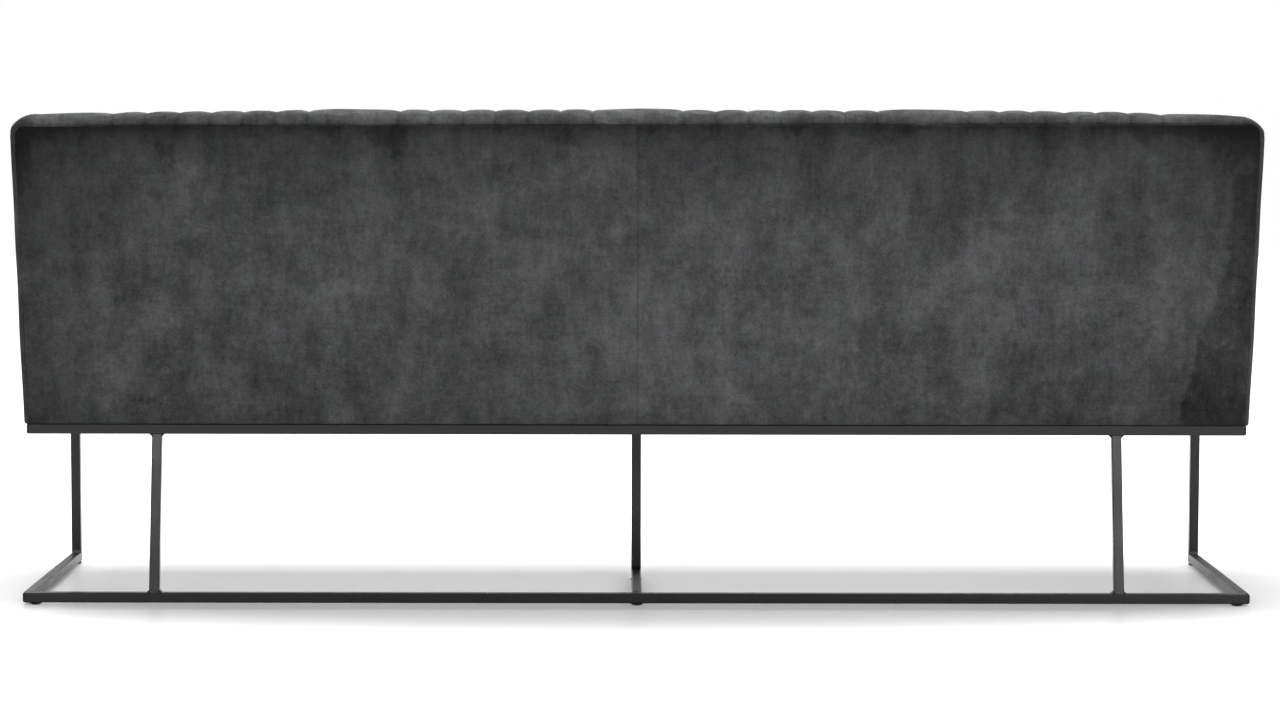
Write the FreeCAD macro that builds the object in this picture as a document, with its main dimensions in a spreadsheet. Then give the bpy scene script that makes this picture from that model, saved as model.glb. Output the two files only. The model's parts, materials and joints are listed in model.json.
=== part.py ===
import FreeCAD, Part
import math
import os
import re
import Sketcher

Vector = FreeCAD.Vector

# Driving sizes in millimetres and degrees, one cell each
sizes = {
    "frame_width": 2200,
    "frame_depth": 568,
    "tube_size": 18,
    "tube_wall": 1.5,
    "tube_corner": 2,
    "seat_rail_height": 302,
    "rear_leg_x": 865,
    "rear_rake": 58,
    "center_leg_depth": 334,
    "cap_flange": 4.5,
    "cap_plug": 10,
    "cap_round": 3.5,
    "fit_clearance": 0.1,
    "glide_height": 4,
    "glide_diameter": 22,
    "glide_flat": 12,
    "glide_stem": 8,
    "glide_stem_length": 7,
    "glide_inset": 22,
    "tab_width": 30,
    "tab_length": 24,
    "tab_thickness": 3,
    "tab_hole_offset": 12,
    "weld_leg": 5,
    "screw_diameter": 5,
    "screw_length": 40,
    "screw_head_diameter": 10,
    "screw_head_height": 3,
    "washer_diameter": 15,
    "washer_thickness": 1.2,
    "side_overhang": 5,
    "front_overhang": 7,
    "rear_overhang": 3,
    "back_angle": 11.5,
    "back_seam_length": 546,
    "back_thickness": 100,
    "back_front_radius": 40,
    "back_rear_radius": 20,
    "seat_height": 495,
    "seat_front_radius": 38,
    "seat_crown": 6,
    "cover_thickness": 12,
    "cover_gap": 0.5,
    "side_edge_radius": 10,
    "channel_groups": 4,
    "channels_per_group": 6,
    "channel_depth": 4,
    "plain_width": 160,
    "end_panel": 181,
    "velvet_thickness": 2,
    "hardboard_thickness": 3,
    "dust_thickness": 1,
    "dust_inset": 20,
    "timber_thickness": 32,
    "seat_board_height": 70,
    "cross_pitch": 540,
    "post_depth": 35,
    "post_pitch": 360,
    "nogging_height": 40,
    "nogging_rise": 90,
    "webbing_width": 60,
    "webbing_thickness": 2,
    "webbing_spread": 70,
    "spring_wire": 3.6,
    "spring_arm": 10,
    "spring_periods": 8,
    "spring_pitch": 140,
    "clip_thickness": 1.2,
    "clip_width": 14,
    "clip_margin": 2,
    "felt_thickness": 3,
    "felt_gap": 0.3,
}

# Formulas in the sizes above; depths run from the back of the floor rail towards the front
formulas = {
    "half_frame": "frame_width / 2",
    "half_tube": "tube_size / 2",
    "rail_top": "glide_height + tube_size",
    "leg_length": "seat_rail_height - rail_top",
    "seat_rail_top": "seat_rail_height + tube_size",
    "body_bottom": "seat_rail_top + dust_thickness",
    "body_width": "frame_width + 2 * side_overhang",
    "half_width": "body_width / 2",
    "core_half": "half_width - cover_thickness",
    "back_foot_depth": "rear_rake - rear_overhang",
    "front_depth": "frame_depth + front_overhang",
    "core_front": "front_depth - cover_thickness",
    "back_reach": "back_seam_length * sin(back_angle) + back_rear_radius * (1 - cos(back_angle)) - back_foot_depth",
    "rear_y": "(front_depth - back_reach) / 2",
    "board_top": "body_bottom + seat_board_height",
    "front_board_depth": "core_front - timber_thickness",
    "post_rear": "velvet_thickness + hardboard_thickness",
    "post_front": "post_rear + post_depth",
    "rear_board_front": "post_front + timber_thickness",
    "back_core": "back_thickness - cover_thickness",
    "inner_front_radius": "back_front_radius - cover_thickness",
    "inner_rear_radius": "back_rear_radius - cover_thickness",
    "core_top": "back_seam_length + inner_rear_radius",
    "top_rail_top": "back_seam_length - back_rear_radius",
    "seat_core": "seat_height - cover_thickness",
    "seat_inner_radius": "seat_front_radius - cover_thickness",
    "wire_level": "board_top + clip_thickness + spring_wire / 2",
    "felt_bottom": "wire_level + spring_wire / 2 + clip_thickness + felt_gap",
    "felt_top": "felt_bottom + felt_thickness",
    "hole_diameter": "screw_diameter + 2 * fit_clearance",
    "screw_grip": "screw_length - tab_thickness - washer_thickness - dust_thickness",
    "rear_hole_depth": "back_foot_depth + (post_front + timber_thickness / 2) / cos(back_angle)"
    " - screw_grip / 2 * tan(back_angle)",
    "rear_hole_offset": "rear_hole_depth - rear_rake - tube_size",
    "tab_edge": "tab_length - tab_hole_offset",
    "channel_width": "(body_width - 2 * end_panel - (channel_groups - 1) * plain_width)"
    " / (channel_groups * channels_per_group)",
}

doc = FreeCAD.newDocument("dining_bench")
sheet = doc.addObject("Spreadsheet::Sheet", "Dims")
for row, (name, size) in enumerate(sizes.items(), 1):
    sheet.set(f"A{row}", name)
    sheet.set(f"B{row}", str(size))
    sheet.setAlias(f"B{row}", name)
doc.recompute()


def rule(text):
    # Formula in plain names, written out in cells of the sheet
    def swap(match):
        word = match.group()
        if word in formulas:
            return "(" + rule(formulas[word]) + ")"
        return "Dims." + word if word in sizes else word

    return re.sub(r"[a-z][a-z_]*", swap, text)


def number(text):
    return float(sheet.evalExpression(rule(text)))


def bind(item, **properties):
    for name, text in properties.items():
        item.setExpression(name, rule(text))


def move_to(item, x="0", y="0", z="0"):
    for axis, text in zip("xyz", (x, y, z)):
        item.setExpression(f"Placement.Base.{axis}", rule(text))
    return item


def along_back(rise, depth):
    # World y and z of a point at a rise along the back and a depth in front of its rear face
    y = f"rear_y - back_foot_depth + ({rise}) * sin(back_angle) - ({depth}) * cos(back_angle)"
    z = f"body_bottom + ({rise}) * cos(back_angle) + ({depth}) * sin(back_angle)"
    return y, z


def lean_at(depth, height):
    # World y of a plane in the back at a depth in front of its rear face, at a height
    return f"rear_y - back_foot_depth - ({depth}) / cos(back_angle) + (({height}) - body_bottom) * tan(back_angle)"


def lean_to(item, x, rise, depth):
    # Puts an item's own origin on the back, its z axis up along the back
    item.Placement = FreeCAD.Placement(Vector(), FreeCAD.Rotation(Vector(-1, 0, 0), 1))
    item.setExpression("Placement.Rotation.Angle", rule("back_angle"))
    return move_to(item, x, *along_back(rise, depth))


def new_body(label):
    body = doc.addObject("PartDesign::Body", label)
    body.Label = label
    return body


def new_sketch(body, role, offset="0"):
    sketch = body.newObject("Sketcher::SketchObject", body.Label + "_sketch")
    support = next(item for item in body.Origin.OriginFeatures if item.Role == role)
    sketch.AttachmentSupport = (support, [""])
    sketch.MapMode = "FlatFace"
    sketch.setExpression("AttachmentOffset.Base.z", rule(offset))
    return sketch


def fix_point(sketch, index, end, x, y):
    for kind, text in (("DistanceX", x), ("DistanceY", y)):
        place = sketch.addConstraint(Sketcher.Constraint(kind, -1, 1, index, end, number(text)))
        sketch.setExpression(f"Constraints[{place}]", rule(text))


def arc_between(start, end, radius, turn):
    # Arc under a half circle from start to end; turn is 1 anticlockwise, -1 clockwise
    middle = (start + end) * 0.5
    chord = end - start
    side = Vector(-chord.y, chord.x, 0).normalize()
    center = middle + side * turn * math.sqrt(max(radius**2 - chord.Length**2 / 4, 0))
    first, last = (start, end) if turn > 0 else (end, start)
    angles = [math.atan2(point.y - center.y, point.x - center.x) for point in (first, last)]
    return Part.ArcOfCircle(Part.Circle(center, Vector(0, 0, 1), radius), *angles)


def draw(sketch, points, closed=True):
    # Each point is x, y and, where an arc leads on from it, the arc's radius and turn
    corners = [Vector(number(point[0]), number(point[1]), 0) for point in points]
    count = len(points) if closed else len(points) - 1
    ends = []
    for place in range(count):
        start, end = corners[place], corners[(place + 1) % len(points)]
        if len(points[place]) == 2:
            index = sketch.addGeometry(Part.LineSegment(start, end), False)
            ends.append((index, 1, 2))
            continue
        radius, turn = points[place][2:]
        index = sketch.addGeometry(arc_between(start, end, number(radius), turn), False)
        ends.append((index, 1, 2) if turn > 0 else (index, 2, 1))
        held = sketch.addConstraint(Sketcher.Constraint("Radius", index, number(radius)))
        sketch.setExpression(f"Constraints[{held}]", rule(radius))
    for place, (index, start, end) in enumerate(ends):
        fix_point(sketch, index, start, *points[place][:2])
        if closed or place + 1 < count:
            follow = ends[(place + 1) % count]
            sketch.addConstraint(Sketcher.Constraint("Coincident", index, end, follow[0], follow[1]))
        else:
            fix_point(sketch, index, end, *points[-1][:2])
    return sketch


def draw_circle(sketch, x, y, diameter):
    circle = Part.Circle(Vector(number(x), number(y), 0), Vector(0, 0, 1), number(diameter) / 2)
    index = sketch.addGeometry(circle, False)
    held = sketch.addConstraint(Sketcher.Constraint("Diameter", index, number(diameter)))
    sketch.setExpression(f"Constraints[{held}]", rule(diameter))
    fix_point(sketch, index, 3, x, y)


def rectangle(x, y):
    return [(f"-({x})", f"-({y})"), (x, f"-({y})"), (x, y), (f"-({x})", y)]


def pad(body, sketch, length):
    feature = body.newObject("PartDesign::Pad", body.Label + "_pad")
    feature.Profile = sketch
    bind(feature, Length=length)
    body.Tip = feature
    doc.recompute()
    return feature


def drill(body, role, offset, holes, diameter, depth):
    # Holes that run along the normal of the sketch
    sketch = new_sketch(body, role, offset)
    for x, y in holes:
        draw_circle(sketch, x, y, diameter)
    before = body.Shape.Volume
    feature = body.newObject("PartDesign::Pocket", body.Label + "_holes")
    feature.Profile = sketch
    feature.Reversed = True
    bind(feature, Length=depth)
    body.Tip = feature
    doc.recompute()
    if not body.Shape.Volume < before:
        raise RuntimeError(body.Label + ": holes outside the solid")


def round_edges(body, radius, chosen):
    base = body.Tip
    names = [f"Edge{place}" for place, edge in enumerate(base.Shape.Edges, 1) if chosen(edge)]
    feature = body.newObject("PartDesign::Fillet", body.Label + "_round")
    feature.Base = (base, names)
    bind(feature, Radius=radius)
    body.Tip = feature
    doc.recompute()


def sweep(body, section, path):
    feature = body.newObject("PartDesign::AdditivePipe", body.Label + "_sweep")
    feature.Profile = section
    feature.Spine = (path, [])
    body.Tip = feature
    doc.recompute()
    return feature


def prism(label, outline, start, width):
    # Side outline in y and z, padded towards +x from start
    body = new_body(label)
    sketch = draw(new_sketch(body, "YZ_Plane", start), outline)
    pad(body, sketch, width)
    return body


def block(label, length, width, height):
    box = doc.addObject("Part::Box", label)
    box.Label = label
    bind(box, Length=length, Width=width, Height=height)
    return box


def group(label, items):
    compound = doc.addObject("Part::Compound", label)
    compound.Label = label
    compound.Links = items
    return compound


def copy_of(item, turn=None):
    link = doc.addObject("App::Link", item.Name + "_copy")
    link.LinkedObject = item
    link.LinkTransform = False
    link.Placement = FreeCAD.Placement(Vector(), turn or FreeCAD.Rotation())
    return link


nodes = []


def keep(*items):
    nodes.extend(items)


# Steel base of square tube

directions = {
    "x": FreeCAD.Rotation(Vector(1, 1, 1), 120),
    "y": FreeCAD.Rotation(Vector(1, 0, 0), 90),
    "z": FreeCAD.Rotation(),
}


def outer_corner(edge):
    # Long edge of a tube's outer skin
    length = max(edge.BoundBox.XLength, edge.BoundBox.YLength, edge.BoundBox.ZLength)
    reach = max(abs(vertex.X) for vertex in edge.Vertexes)
    return length > 3 * number("tube_size") and reach > number("half_tube - tube_wall / 2")


def tube(label, axis, length, x, y, z, holes=()):
    # Tube along x, towards the front or upwards; holes are distances along its lower wall
    body = new_body(label)
    sketch = new_sketch(body, "XY_Plane")
    draw(sketch, rectangle("half_tube", "half_tube"))
    draw(sketch, rectangle("half_tube - tube_wall", "half_tube - tube_wall"))
    pad(body, sketch, length)
    round_edges(body, "tube_corner", outer_corner)
    if holes:
        places = [("0", place) for place in holes]
        drill(body, "XZ_Plane", "0", places, "glide_stem + 2 * fit_clearance", "tube_size")
    body.Placement = FreeCAD.Placement(Vector(), directions[axis])
    move_to(body, x, y, z)
    keep(body)
    return body


rail_x = "half_frame - half_tube"
capped = "half_frame - cap_flange"
floor_level = "glide_height + half_tube"
seat_level = "seat_rail_height + half_tube"
side_start = "rear_y - tube_size"
seat_rear_y = "rear_y - rear_rake - half_tube"
seat_front_y = "rear_y - frame_depth + half_tube"
front_glide_y = "rear_y - frame_depth + glide_inset"
center_y = "rear_y - center_leg_depth"
glide_x = "half_frame - glide_inset"

tube(
    "rear_floor_rail", "x", f"2 * ({capped})", f"-({capped})", "rear_y - half_tube", floor_level,
    holes=["glide_inset - cap_flange", capped, "frame_width - glide_inset - cap_flange"],
)
for side, sign in (("left", "-"), ("right", "")):
    tube(
        f"{side}_floor_rail", "y", "frame_depth - tube_size - cap_flange", f"{sign}({rail_x})",
        side_start, floor_level, holes=["frame_depth - tube_size - glide_inset"],
    )
tube(
    "center_floor_rail", "y", "center_leg_depth + half_tube - tube_size - cap_flange", "0",
    side_start, floor_level, holes=["center_leg_depth + half_tube - tube_size - glide_inset"],
)
for side, sign in (("left", "-"), ("right", "")):
    tube(f"{side}_front_leg", "z", "leg_length", f"{sign}({rail_x})", seat_front_y, "rail_top")
tube("center_leg", "z", "leg_length", "0", center_y, "rail_top")
tube("rear_seat_rail", "x", f"2 * ({capped})", f"-({capped})", seat_rear_y, seat_level)
tube("front_seat_rail", "x", f"2 * ({capped})", f"-({capped})", seat_front_y, seat_level)
seat_run = "frame_depth - rear_rake - 2 * tube_size"
seat_run_start = "rear_y - rear_rake - tube_size"
for side, x in (("left", f"-({rail_x})"), ("right", rail_x), ("center", "0")):
    tube(f"{side}_seat_rail", "y", seat_run, x, seat_run_start, seat_level)

# Rear legs rake forwards, with level ends; their section is stretched along the rake
rake_stretch = "sqrt(leg_length^2 + rear_rake^2) / leg_length"
for side, sign in (("left", "-"), ("right", "")):
    leg = new_body(f"{side}_rear_leg")
    section = new_sketch(leg, "XY_Plane")
    draw(section, rectangle("half_tube", f"half_tube * {rake_stretch}"))
    draw(section, rectangle("half_tube - tube_wall", f"(half_tube - tube_wall) * {rake_stretch}"))
    raked = leg.newObject("PartDesign::Pad", leg.Label + "_pad")
    raked.Profile = section
    raked.UseCustomVector = True
    raked.AlongSketchNormal = True
    raked.Direction = Vector(0, -1, 1)
    raked.setExpression("Direction.y", rule("-rear_rake"))
    raked.setExpression("Direction.z", rule("leg_length"))
    bind(raked, Length="leg_length")
    leg.Tip = raked
    doc.recompute()
    round_edges(leg, "tube_corner", outer_corner)
    move_to(leg, f"{sign}rear_leg_x", "rear_y - half_tube", "rail_top")
    keep(leg)

# Weld beads, three-cornered, along the inside corners where tubes meet
bead_length = "tube_size - 2 * tube_corner"


def bead(x, y, z, outward, rise):
    wedge = doc.addObject("Part::Wedge", "bead")
    for name in ("Xmin", "Ymin", "Zmin", "X2min", "X2max", "Z2min"):
        setattr(wedge, name, 0)
    bind(wedge, Xmax="weld_leg", Ymax="weld_leg", Zmax=bead_length, Z2max=bead_length)
    across = outward.cross(rise)
    wedge.Placement = FreeCAD.Placement(Vector(), FreeCAD.Rotation(outward, rise, across, "XYZ"))
    half = f"({bead_length}) / 2"
    return move_to(wedge, f"{x} - ({across.x}) * {half}", f"{y} - ({across.y}) * {half}", z)


up, down = Vector(0, 0, 1), Vector(0, 0, -1)
beads = []
for sign in (-1, 1):
    for turn in (-1, 1):
        outward = Vector(turn, 0, 0)
        side_x = f"{sign} * rear_leg_x + {turn} * half_tube"
        beads.append(bead(side_x, "rear_y - half_tube", "rail_top", outward, up))
        beads.append(bead(side_x, seat_rear_y, "seat_rail_height", outward, down))
    leg_x = f"{sign} * ({rail_x})"
    beads.append(bead(leg_x, f"{seat_front_y} + half_tube", "rail_top", Vector(0, 1, 0), up))
    inner_x = f"{leg_x} - {sign} * half_tube"
    beads.append(bead(inner_x, seat_front_y, "seat_rail_height", Vector(-sign, 0, 0), down))
beads.append(bead("0", f"{center_y} + half_tube", "rail_top", Vector(0, 1, 0), up))
for turn in (-1, 1):
    edge_y = f"{center_y} + {turn} * half_tube"
    beads.append(bead("0", edge_y, "seat_rail_height", Vector(0, turn, 0), down))
keep(group("weld_beads", beads))

# Plugs in the open tube ends, each a rounded flange with a plug behind it
cap = new_body("cap_pattern")
flange = draw(new_sketch(cap, "XY_Plane"), rectangle("half_tube", "half_tube"))
pad(cap, flange, "cap_flange")
round_edges(cap, "cap_round", lambda edge: edge.BoundBox.ZMax > number("cap_flange / 2"))
plug = new_sketch(cap, "XY_Plane", "-cap_plug")
plug_half = "half_tube - tube_wall - fit_clearance"
draw(plug, rectangle(plug_half, plug_half))
pad(cap, plug, "cap_plug")
facing = {
    "left": FreeCAD.Rotation(Vector(0, 1, 0), -90),
    "right": FreeCAD.Rotation(Vector(0, 1, 0), 90),
    "front": FreeCAD.Rotation(Vector(1, 0, 0), 90),
}


def end_cap(way, x, y, z):
    return move_to(copy_of(cap, facing[way]), x, y, z)


floor_front_y = "rear_y - frame_depth + cap_flange"
floor_caps = [
    end_cap("left", f"-({capped})", "rear_y - half_tube", floor_level),
    end_cap("right", capped, "rear_y - half_tube", floor_level),
    end_cap("front", f"-({rail_x})", floor_front_y, floor_level),
    end_cap("front", rail_x, floor_front_y, floor_level),
    end_cap("front", "0", f"{center_y} - half_tube + cap_flange", floor_level),
]
keep(group("floor_rail_end_caps", floor_caps))
seat_caps = []
for y in (seat_rear_y, seat_front_y):
    seat_caps.append(end_cap("left", f"-({capped})", y, seat_level))
    seat_caps.append(end_cap("right", capped, y, seat_level))
keep(group("seat_rail_end_caps", seat_caps))

# Glides, turned, with a stem pressed into the lower wall of a rail
glide_places = {
    "rear_left_glide": (f"-({glide_x})", "rear_y - half_tube"),
    "rear_center_glide": ("0", "rear_y - half_tube"),
    "rear_right_glide": (glide_x, "rear_y - half_tube"),
    "front_left_glide": (f"-({rail_x})", front_glide_y),
    "front_right_glide": (rail_x, front_glide_y),
    "center_glide": ("0", f"{center_y} - half_tube + glide_inset"),
}
for label, (x, y) in glide_places.items():
    glide = new_body(label)
    outline = [
        ("0", "0"),
        ("glide_flat / 2", "0"),
        ("glide_diameter / 2", "glide_height * 0.6"),
        ("glide_diameter / 2", "glide_height"),
        ("glide_stem / 2", "glide_height"),
        ("glide_stem / 2", "glide_height + glide_stem_length"),
        ("0", "glide_height + glide_stem_length"),
    ]
    section = draw(new_sketch(glide, "XZ_Plane"), outline)
    spin = glide.newObject("PartDesign::Revolution", label + "_spin")
    spin.Profile = section
    spin.ReferenceAxis = (section, ["V_Axis"])
    spin.Angle = 360
    glide.Tip = spin
    keep(move_to(glide, x, y, "0"))

# Mounting tabs, screws and washers; each fixing is its hole's x and y and the way its tab points
fixings = []
for step in (-2, -1, 1, 2):
    x = f"{step} * post_pitch"
    fixings.append((x, "rear_y - rear_hole_depth", 0))
    fixings.append((x, "rear_y - frame_depth + tube_size + tab_hole_offset", 180))
side_hole_x = "half_frame - tube_size - tab_hole_offset"
fixings.append((f"-({side_hole_x})", center_y, 90))
fixings.append((side_hole_x, center_y, -90))


def tab_pattern(label, offset):
    # Flat tab with its hole at the origin, which meets a rail at an offset behind the hole
    body = new_body(label)
    sketch = new_sketch(body, "XY_Plane")
    outline = [
        ("-tab_width / 2", "-tab_edge"),
        ("tab_width / 2", "-tab_edge"),
        ("tab_width / 2", offset),
        ("-tab_width / 2", offset),
    ]
    draw(sketch, outline)
    draw_circle(sketch, "0", "0", "hole_diameter")
    pad(body, sketch, "tab_thickness")
    return body


rear_tab = tab_pattern("rear_tab_pattern", "rear_hole_offset")
tab = tab_pattern("tab_pattern", "tab_hole_offset")

screw = new_body("screw_pattern")
screw_outline = [
    ("0", "-screw_head_height"),
    ("screw_head_diameter / 2", "-screw_head_height"),
    ("screw_head_diameter / 2", "0"),
    ("screw_diameter / 2", "0"),
    ("screw_diameter / 2", "screw_length - screw_diameter"),
    ("0", "screw_length"),
]
screw_section = draw(new_sketch(screw, "XZ_Plane"), screw_outline)
screw_spin = screw.newObject("PartDesign::Revolution", "screw_spin")
screw_spin.Profile = screw_section
screw_spin.ReferenceAxis = (screw_section, ["V_Axis"])
screw_spin.Angle = 360
screw.Tip = screw_spin

washer = new_body("washer_pattern")
washer_sketch = new_sketch(washer, "XY_Plane")
draw_circle(washer_sketch, "0", "0", "washer_diameter")
draw_circle(washer_sketch, "0", "0", "hole_diameter")
pad(washer, washer_sketch, "washer_thickness")

tab_bottom = "seat_rail_top - tab_thickness"
tabs, screws, washers = [], [], []
for x, y, angle in fixings:
    turn = FreeCAD.Rotation(Vector(0, 0, 1), angle)
    tabs.append(move_to(copy_of(rear_tab if angle == 0 else tab, turn), x, y, tab_bottom))
    washers.append(move_to(copy_of(washer), x, y, f"{tab_bottom} - washer_thickness"))
    screws.append(move_to(copy_of(screw), x, y, f"{tab_bottom} - washer_thickness"))
keep(group("mounting_tabs", tabs), group("frame_screws", screws), group("screw_washers", washers))
pilot_depth = "screw_grip + fit_clearance"

# Wooden seat frame
front_board = prism(
    "seat_front_board",
    [
        ("rear_y - core_front", "body_bottom"),
        ("rear_y - front_board_depth", "body_bottom"),
        ("rear_y - front_board_depth", "board_top"),
        ("rear_y - core_front", "board_top"),
    ],
    "-core_half",
    "2 * core_half",
)
front_holes = [(x, y) for x, y, angle in fixings if angle == 180]
drill(front_board, "XY_Plane", "body_bottom", front_holes, "hole_diameter", pilot_depth)
rear_board = prism(
    "seat_rear_board",
    [
        (lean_at("rear_board_front", "body_bottom"), "body_bottom"),
        (lean_at("post_front", "body_bottom"), "body_bottom"),
        (lean_at("post_front", "board_top"), "board_top"),
        (lean_at("rear_board_front", "board_top"), "board_top"),
    ],
    "-core_half",
    "2 * core_half",
)
rear_holes = [(x, y) for x, y, angle in fixings if angle == 0]
drill(rear_board, "XY_Plane", "body_bottom", rear_holes, "hole_diameter", pilot_depth)
keep(front_board, rear_board)
rib_outline = [
    ("rear_y - front_board_depth", "body_bottom"),
    (lean_at("rear_board_front", "body_bottom"), "body_bottom"),
    (lean_at("rear_board_front", "board_top"), "board_top"),
    ("rear_y - front_board_depth", "board_top"),
]
ribs = {
    "seat_left_board": "-core_half",
    "seat_right_board": "core_half - timber_thickness",
    "left_cross_board": "-cross_pitch - timber_thickness / 2",
    "center_cross_board": "-timber_thickness / 2",
    "right_cross_board": "cross_pitch - timber_thickness / 2",
}
side_holes = {
    "seat_left_board": (f"-({side_hole_x})", center_y),
    "seat_right_board": (side_hole_x, center_y),
}
for label, start in ribs.items():
    rib = prism(label, rib_outline, start, "timber_thickness")
    if label in side_holes:
        drill(rib, "XY_Plane", "body_bottom", [side_holes[label]], "hole_diameter", pilot_depth)
    keep(rib)

# Wooden back frame: leaning posts, a top rail across them and blocks between them
post_tops = [along_back("top_rail_top - timber_thickness", depth) for depth in ("post_rear", "post_front")]
post_outline = [
    (lean_at("post_front", "body_bottom"), "body_bottom"),
    (lean_at("post_rear", "body_bottom"), "body_bottom"),
    post_tops[0],
    post_tops[1],
]
post_places = {
    "left_end_post": "-core_half + timber_thickness / 2",
    "left_outer_post": "-2 * post_pitch",
    "left_inner_post": "-post_pitch",
    "center_post": "0",
    "right_inner_post": "post_pitch",
    "right_outer_post": "2 * post_pitch",
    "right_end_post": "core_half - timber_thickness / 2",
}
for label, x in post_places.items():
    keep(prism(label, post_outline, f"{x} - timber_thickness / 2", "timber_thickness"))
top_rail = block("back_top_rail", "2 * core_half", "post_depth", "timber_thickness")
keep(lean_to(top_rail, "-core_half", "top_rail_top - timber_thickness", "post_front"))
centers = list(post_places.values())
noggings, straps = [], []
for left, right in zip(centers[:-1], centers[1:]):
    bay = f"({right}) - ({left}) - timber_thickness"
    nogging = block("nogging", bay, "post_depth", "nogging_height")
    noggings.append(lean_to(nogging, f"{left} + timber_thickness / 2", "nogging_rise", "post_front"))
    for turn in (-1, 1):
        strap_length = "top_rail_top - nogging_rise"
        strap = block("strap", "webbing_width", "webbing_thickness", strap_length)
        strap_x = f"(({left}) + ({right})) / 2 + {turn} * webbing_spread - webbing_width / 2"
        straps.append(lean_to(strap, strap_x, "nogging_rise", "post_front + webbing_thickness"))
keep(group("back_noggings", noggings), group("back_webbing", straps))
back_board = block("back_board", "2 * core_half", "hardboard_thickness", "back_seam_length - 2 * cover_gap")
keep(lean_to(back_board, "-core_half", "cover_gap", "post_rear"))

# Zigzag seat springs, from the top of the rear board to the top of the front board
spring_rear_y = lean_at("(post_front + rear_board_front) / 2", "board_top")
spring_front_y = "rear_y - front_board_depth - timber_thickness / 2"
half_loop = f"(({spring_rear_y}) - ({spring_front_y})) / spring_periods / 2"
loop_radius = f"{half_loop} / 2"
spring = new_body("spring_pattern")
spring_path = new_sketch(spring, "XY_Plane")
bulge = f"spring_arm + {loop_radius}"
wave = [
    ("-spring_arm", "0"),
    ("spring_arm", "0", loop_radius, -1),
    (bulge, f"-{loop_radius}", loop_radius, -1),
    ("spring_arm", f"-{half_loop}"),
    ("-spring_arm", f"-{half_loop}", loop_radius, 1),
    (f"-({bulge})", f"-{half_loop} - {loop_radius}", loop_radius, 1),
    ("-spring_arm", f"-2 * {half_loop}"),
]
draw(spring_path, wave, closed=False)
wire = new_sketch(spring, "YZ_Plane", "-spring_arm")
draw_circle(wire, "0", "0", "spring_wire")
loop = sweep(spring, wire, spring_path)
row = spring.newObject("PartDesign::LinearPattern", "spring_row")
row.Originals = [loop]
row.Direction = (next(item for item in spring.Origin.OriginFeatures if item.Role == "Y_Axis"), [""])
row.Reversed = True
row.Occurrences = int(number("spring_periods"))
row.setExpression("Length", rule(f"2 * {half_loop} * (spring_periods - 1)"))
spring.Tip = row
doc.recompute()
last_bar = new_sketch(spring, "YZ_Plane", "-spring_arm")
draw_circle(last_bar, f"-2 * {half_loop} * spring_periods", "0", "spring_wire")
pad(spring, last_bar, "2 * spring_arm")

# Clips hold the end bars of the springs, each open towards its board's outer face
clip_inner = "spring_wire + 2 * fit_clearance"
clip_top = f"2 * clip_thickness + {clip_inner}"
clip_hold = f"({clip_inner}) / 2"
clip_wall = f"{clip_hold} + clip_thickness"
clip = prism(
    "clip_pattern",
    [
        ("timber_thickness / 2 - clip_margin", "0"),
        ("timber_thickness / 2 - clip_margin", "clip_thickness"),
        (f"-({clip_hold})", "clip_thickness"),
        (f"-({clip_hold})", f"{clip_top} - clip_thickness"),
        (f"{clip_wall}", f"{clip_top} - clip_thickness"),
        (f"{clip_wall}", clip_top),
        (f"-({clip_wall})", clip_top),
        (f"-({clip_wall})", "0"),
    ],
    "-clip_width / 2",
    "clip_width",
)
half_turn = FreeCAD.Rotation(Vector(0, 0, 1), 180)
springs, clips = [], []
for bay in (-1.5, -0.5, 0.5, 1.5):
    for step in (-1, 0, 1):
        x = f"{bay} * cross_pitch + {step} * spring_pitch"
        springs.append(move_to(copy_of(spring), x, spring_rear_y, "wire_level + fit_clearance"))
        clips.append(move_to(copy_of(clip), x, spring_rear_y, "board_top"))
        clips.append(move_to(copy_of(clip, half_turn), x, spring_front_y, "board_top"))
keep(group("seat_springs", springs), group("spring_clips", clips))

# Felt and foam
foam_rear = "back_core + cover_gap"
felt = prism(
    "spring_felt",
    [
        ("rear_y - core_front + cover_gap", "felt_bottom + 2 * fit_clearance"),
        (lean_at(foam_rear, "felt_bottom"), "felt_bottom + 2 * fit_clearance"),
        (lean_at(foam_rear, "felt_bottom"), "felt_top"),
        ("rear_y - core_front + cover_gap", "felt_top"),
    ],
    "-core_half + cover_gap",
    "2 * (core_half - cover_gap)",
)
seat_foam = prism(
    "seat_foam",
    [
        ("rear_y - core_front", "felt_top"),
        (lean_at(foam_rear, "felt_top"), "felt_top"),
        (lean_at(foam_rear, "seat_core"), "seat_core"),
        ("rear_y - core_front + seat_inner_radius", "seat_core", "seat_inner_radius", 1),
        ("rear_y - core_front", "seat_core - seat_inner_radius"),
    ],
    "-core_half",
    "2 * core_half",
)
web_front = "post_front + webbing_thickness"
foam_start = "seat_board_height / cos(back_angle)"
back_foam = prism(
    "back_foam",
    [
        ("-back_core", foam_start),
        (f"-({web_front})", foam_start),
        (f"-({web_front})", "top_rail_top"),
        ("-cover_thickness", "top_rail_top"),
        ("-cover_thickness", "back_seam_length", "inner_rear_radius", 1),
        ("-back_rear_radius", "core_top"),
        ("inner_front_radius - back_core", "core_top", "inner_front_radius", 1),
        ("-back_core", "core_top - inner_front_radius"),
    ],
    "-core_half",
    "2 * core_half",
)
lean_to(back_foam, "0", "0", "0")
keep(felt, seat_foam, back_foam)

# Inside back cover, swept up the front, over the top and down to the rear seam


def crown(chord, rise):
    # Radius of the arc over a chord that rises by this much at its middle
    return f"(({chord})^2 / 4 + ({rise})^2) / (2 * ({rise}))"


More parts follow.
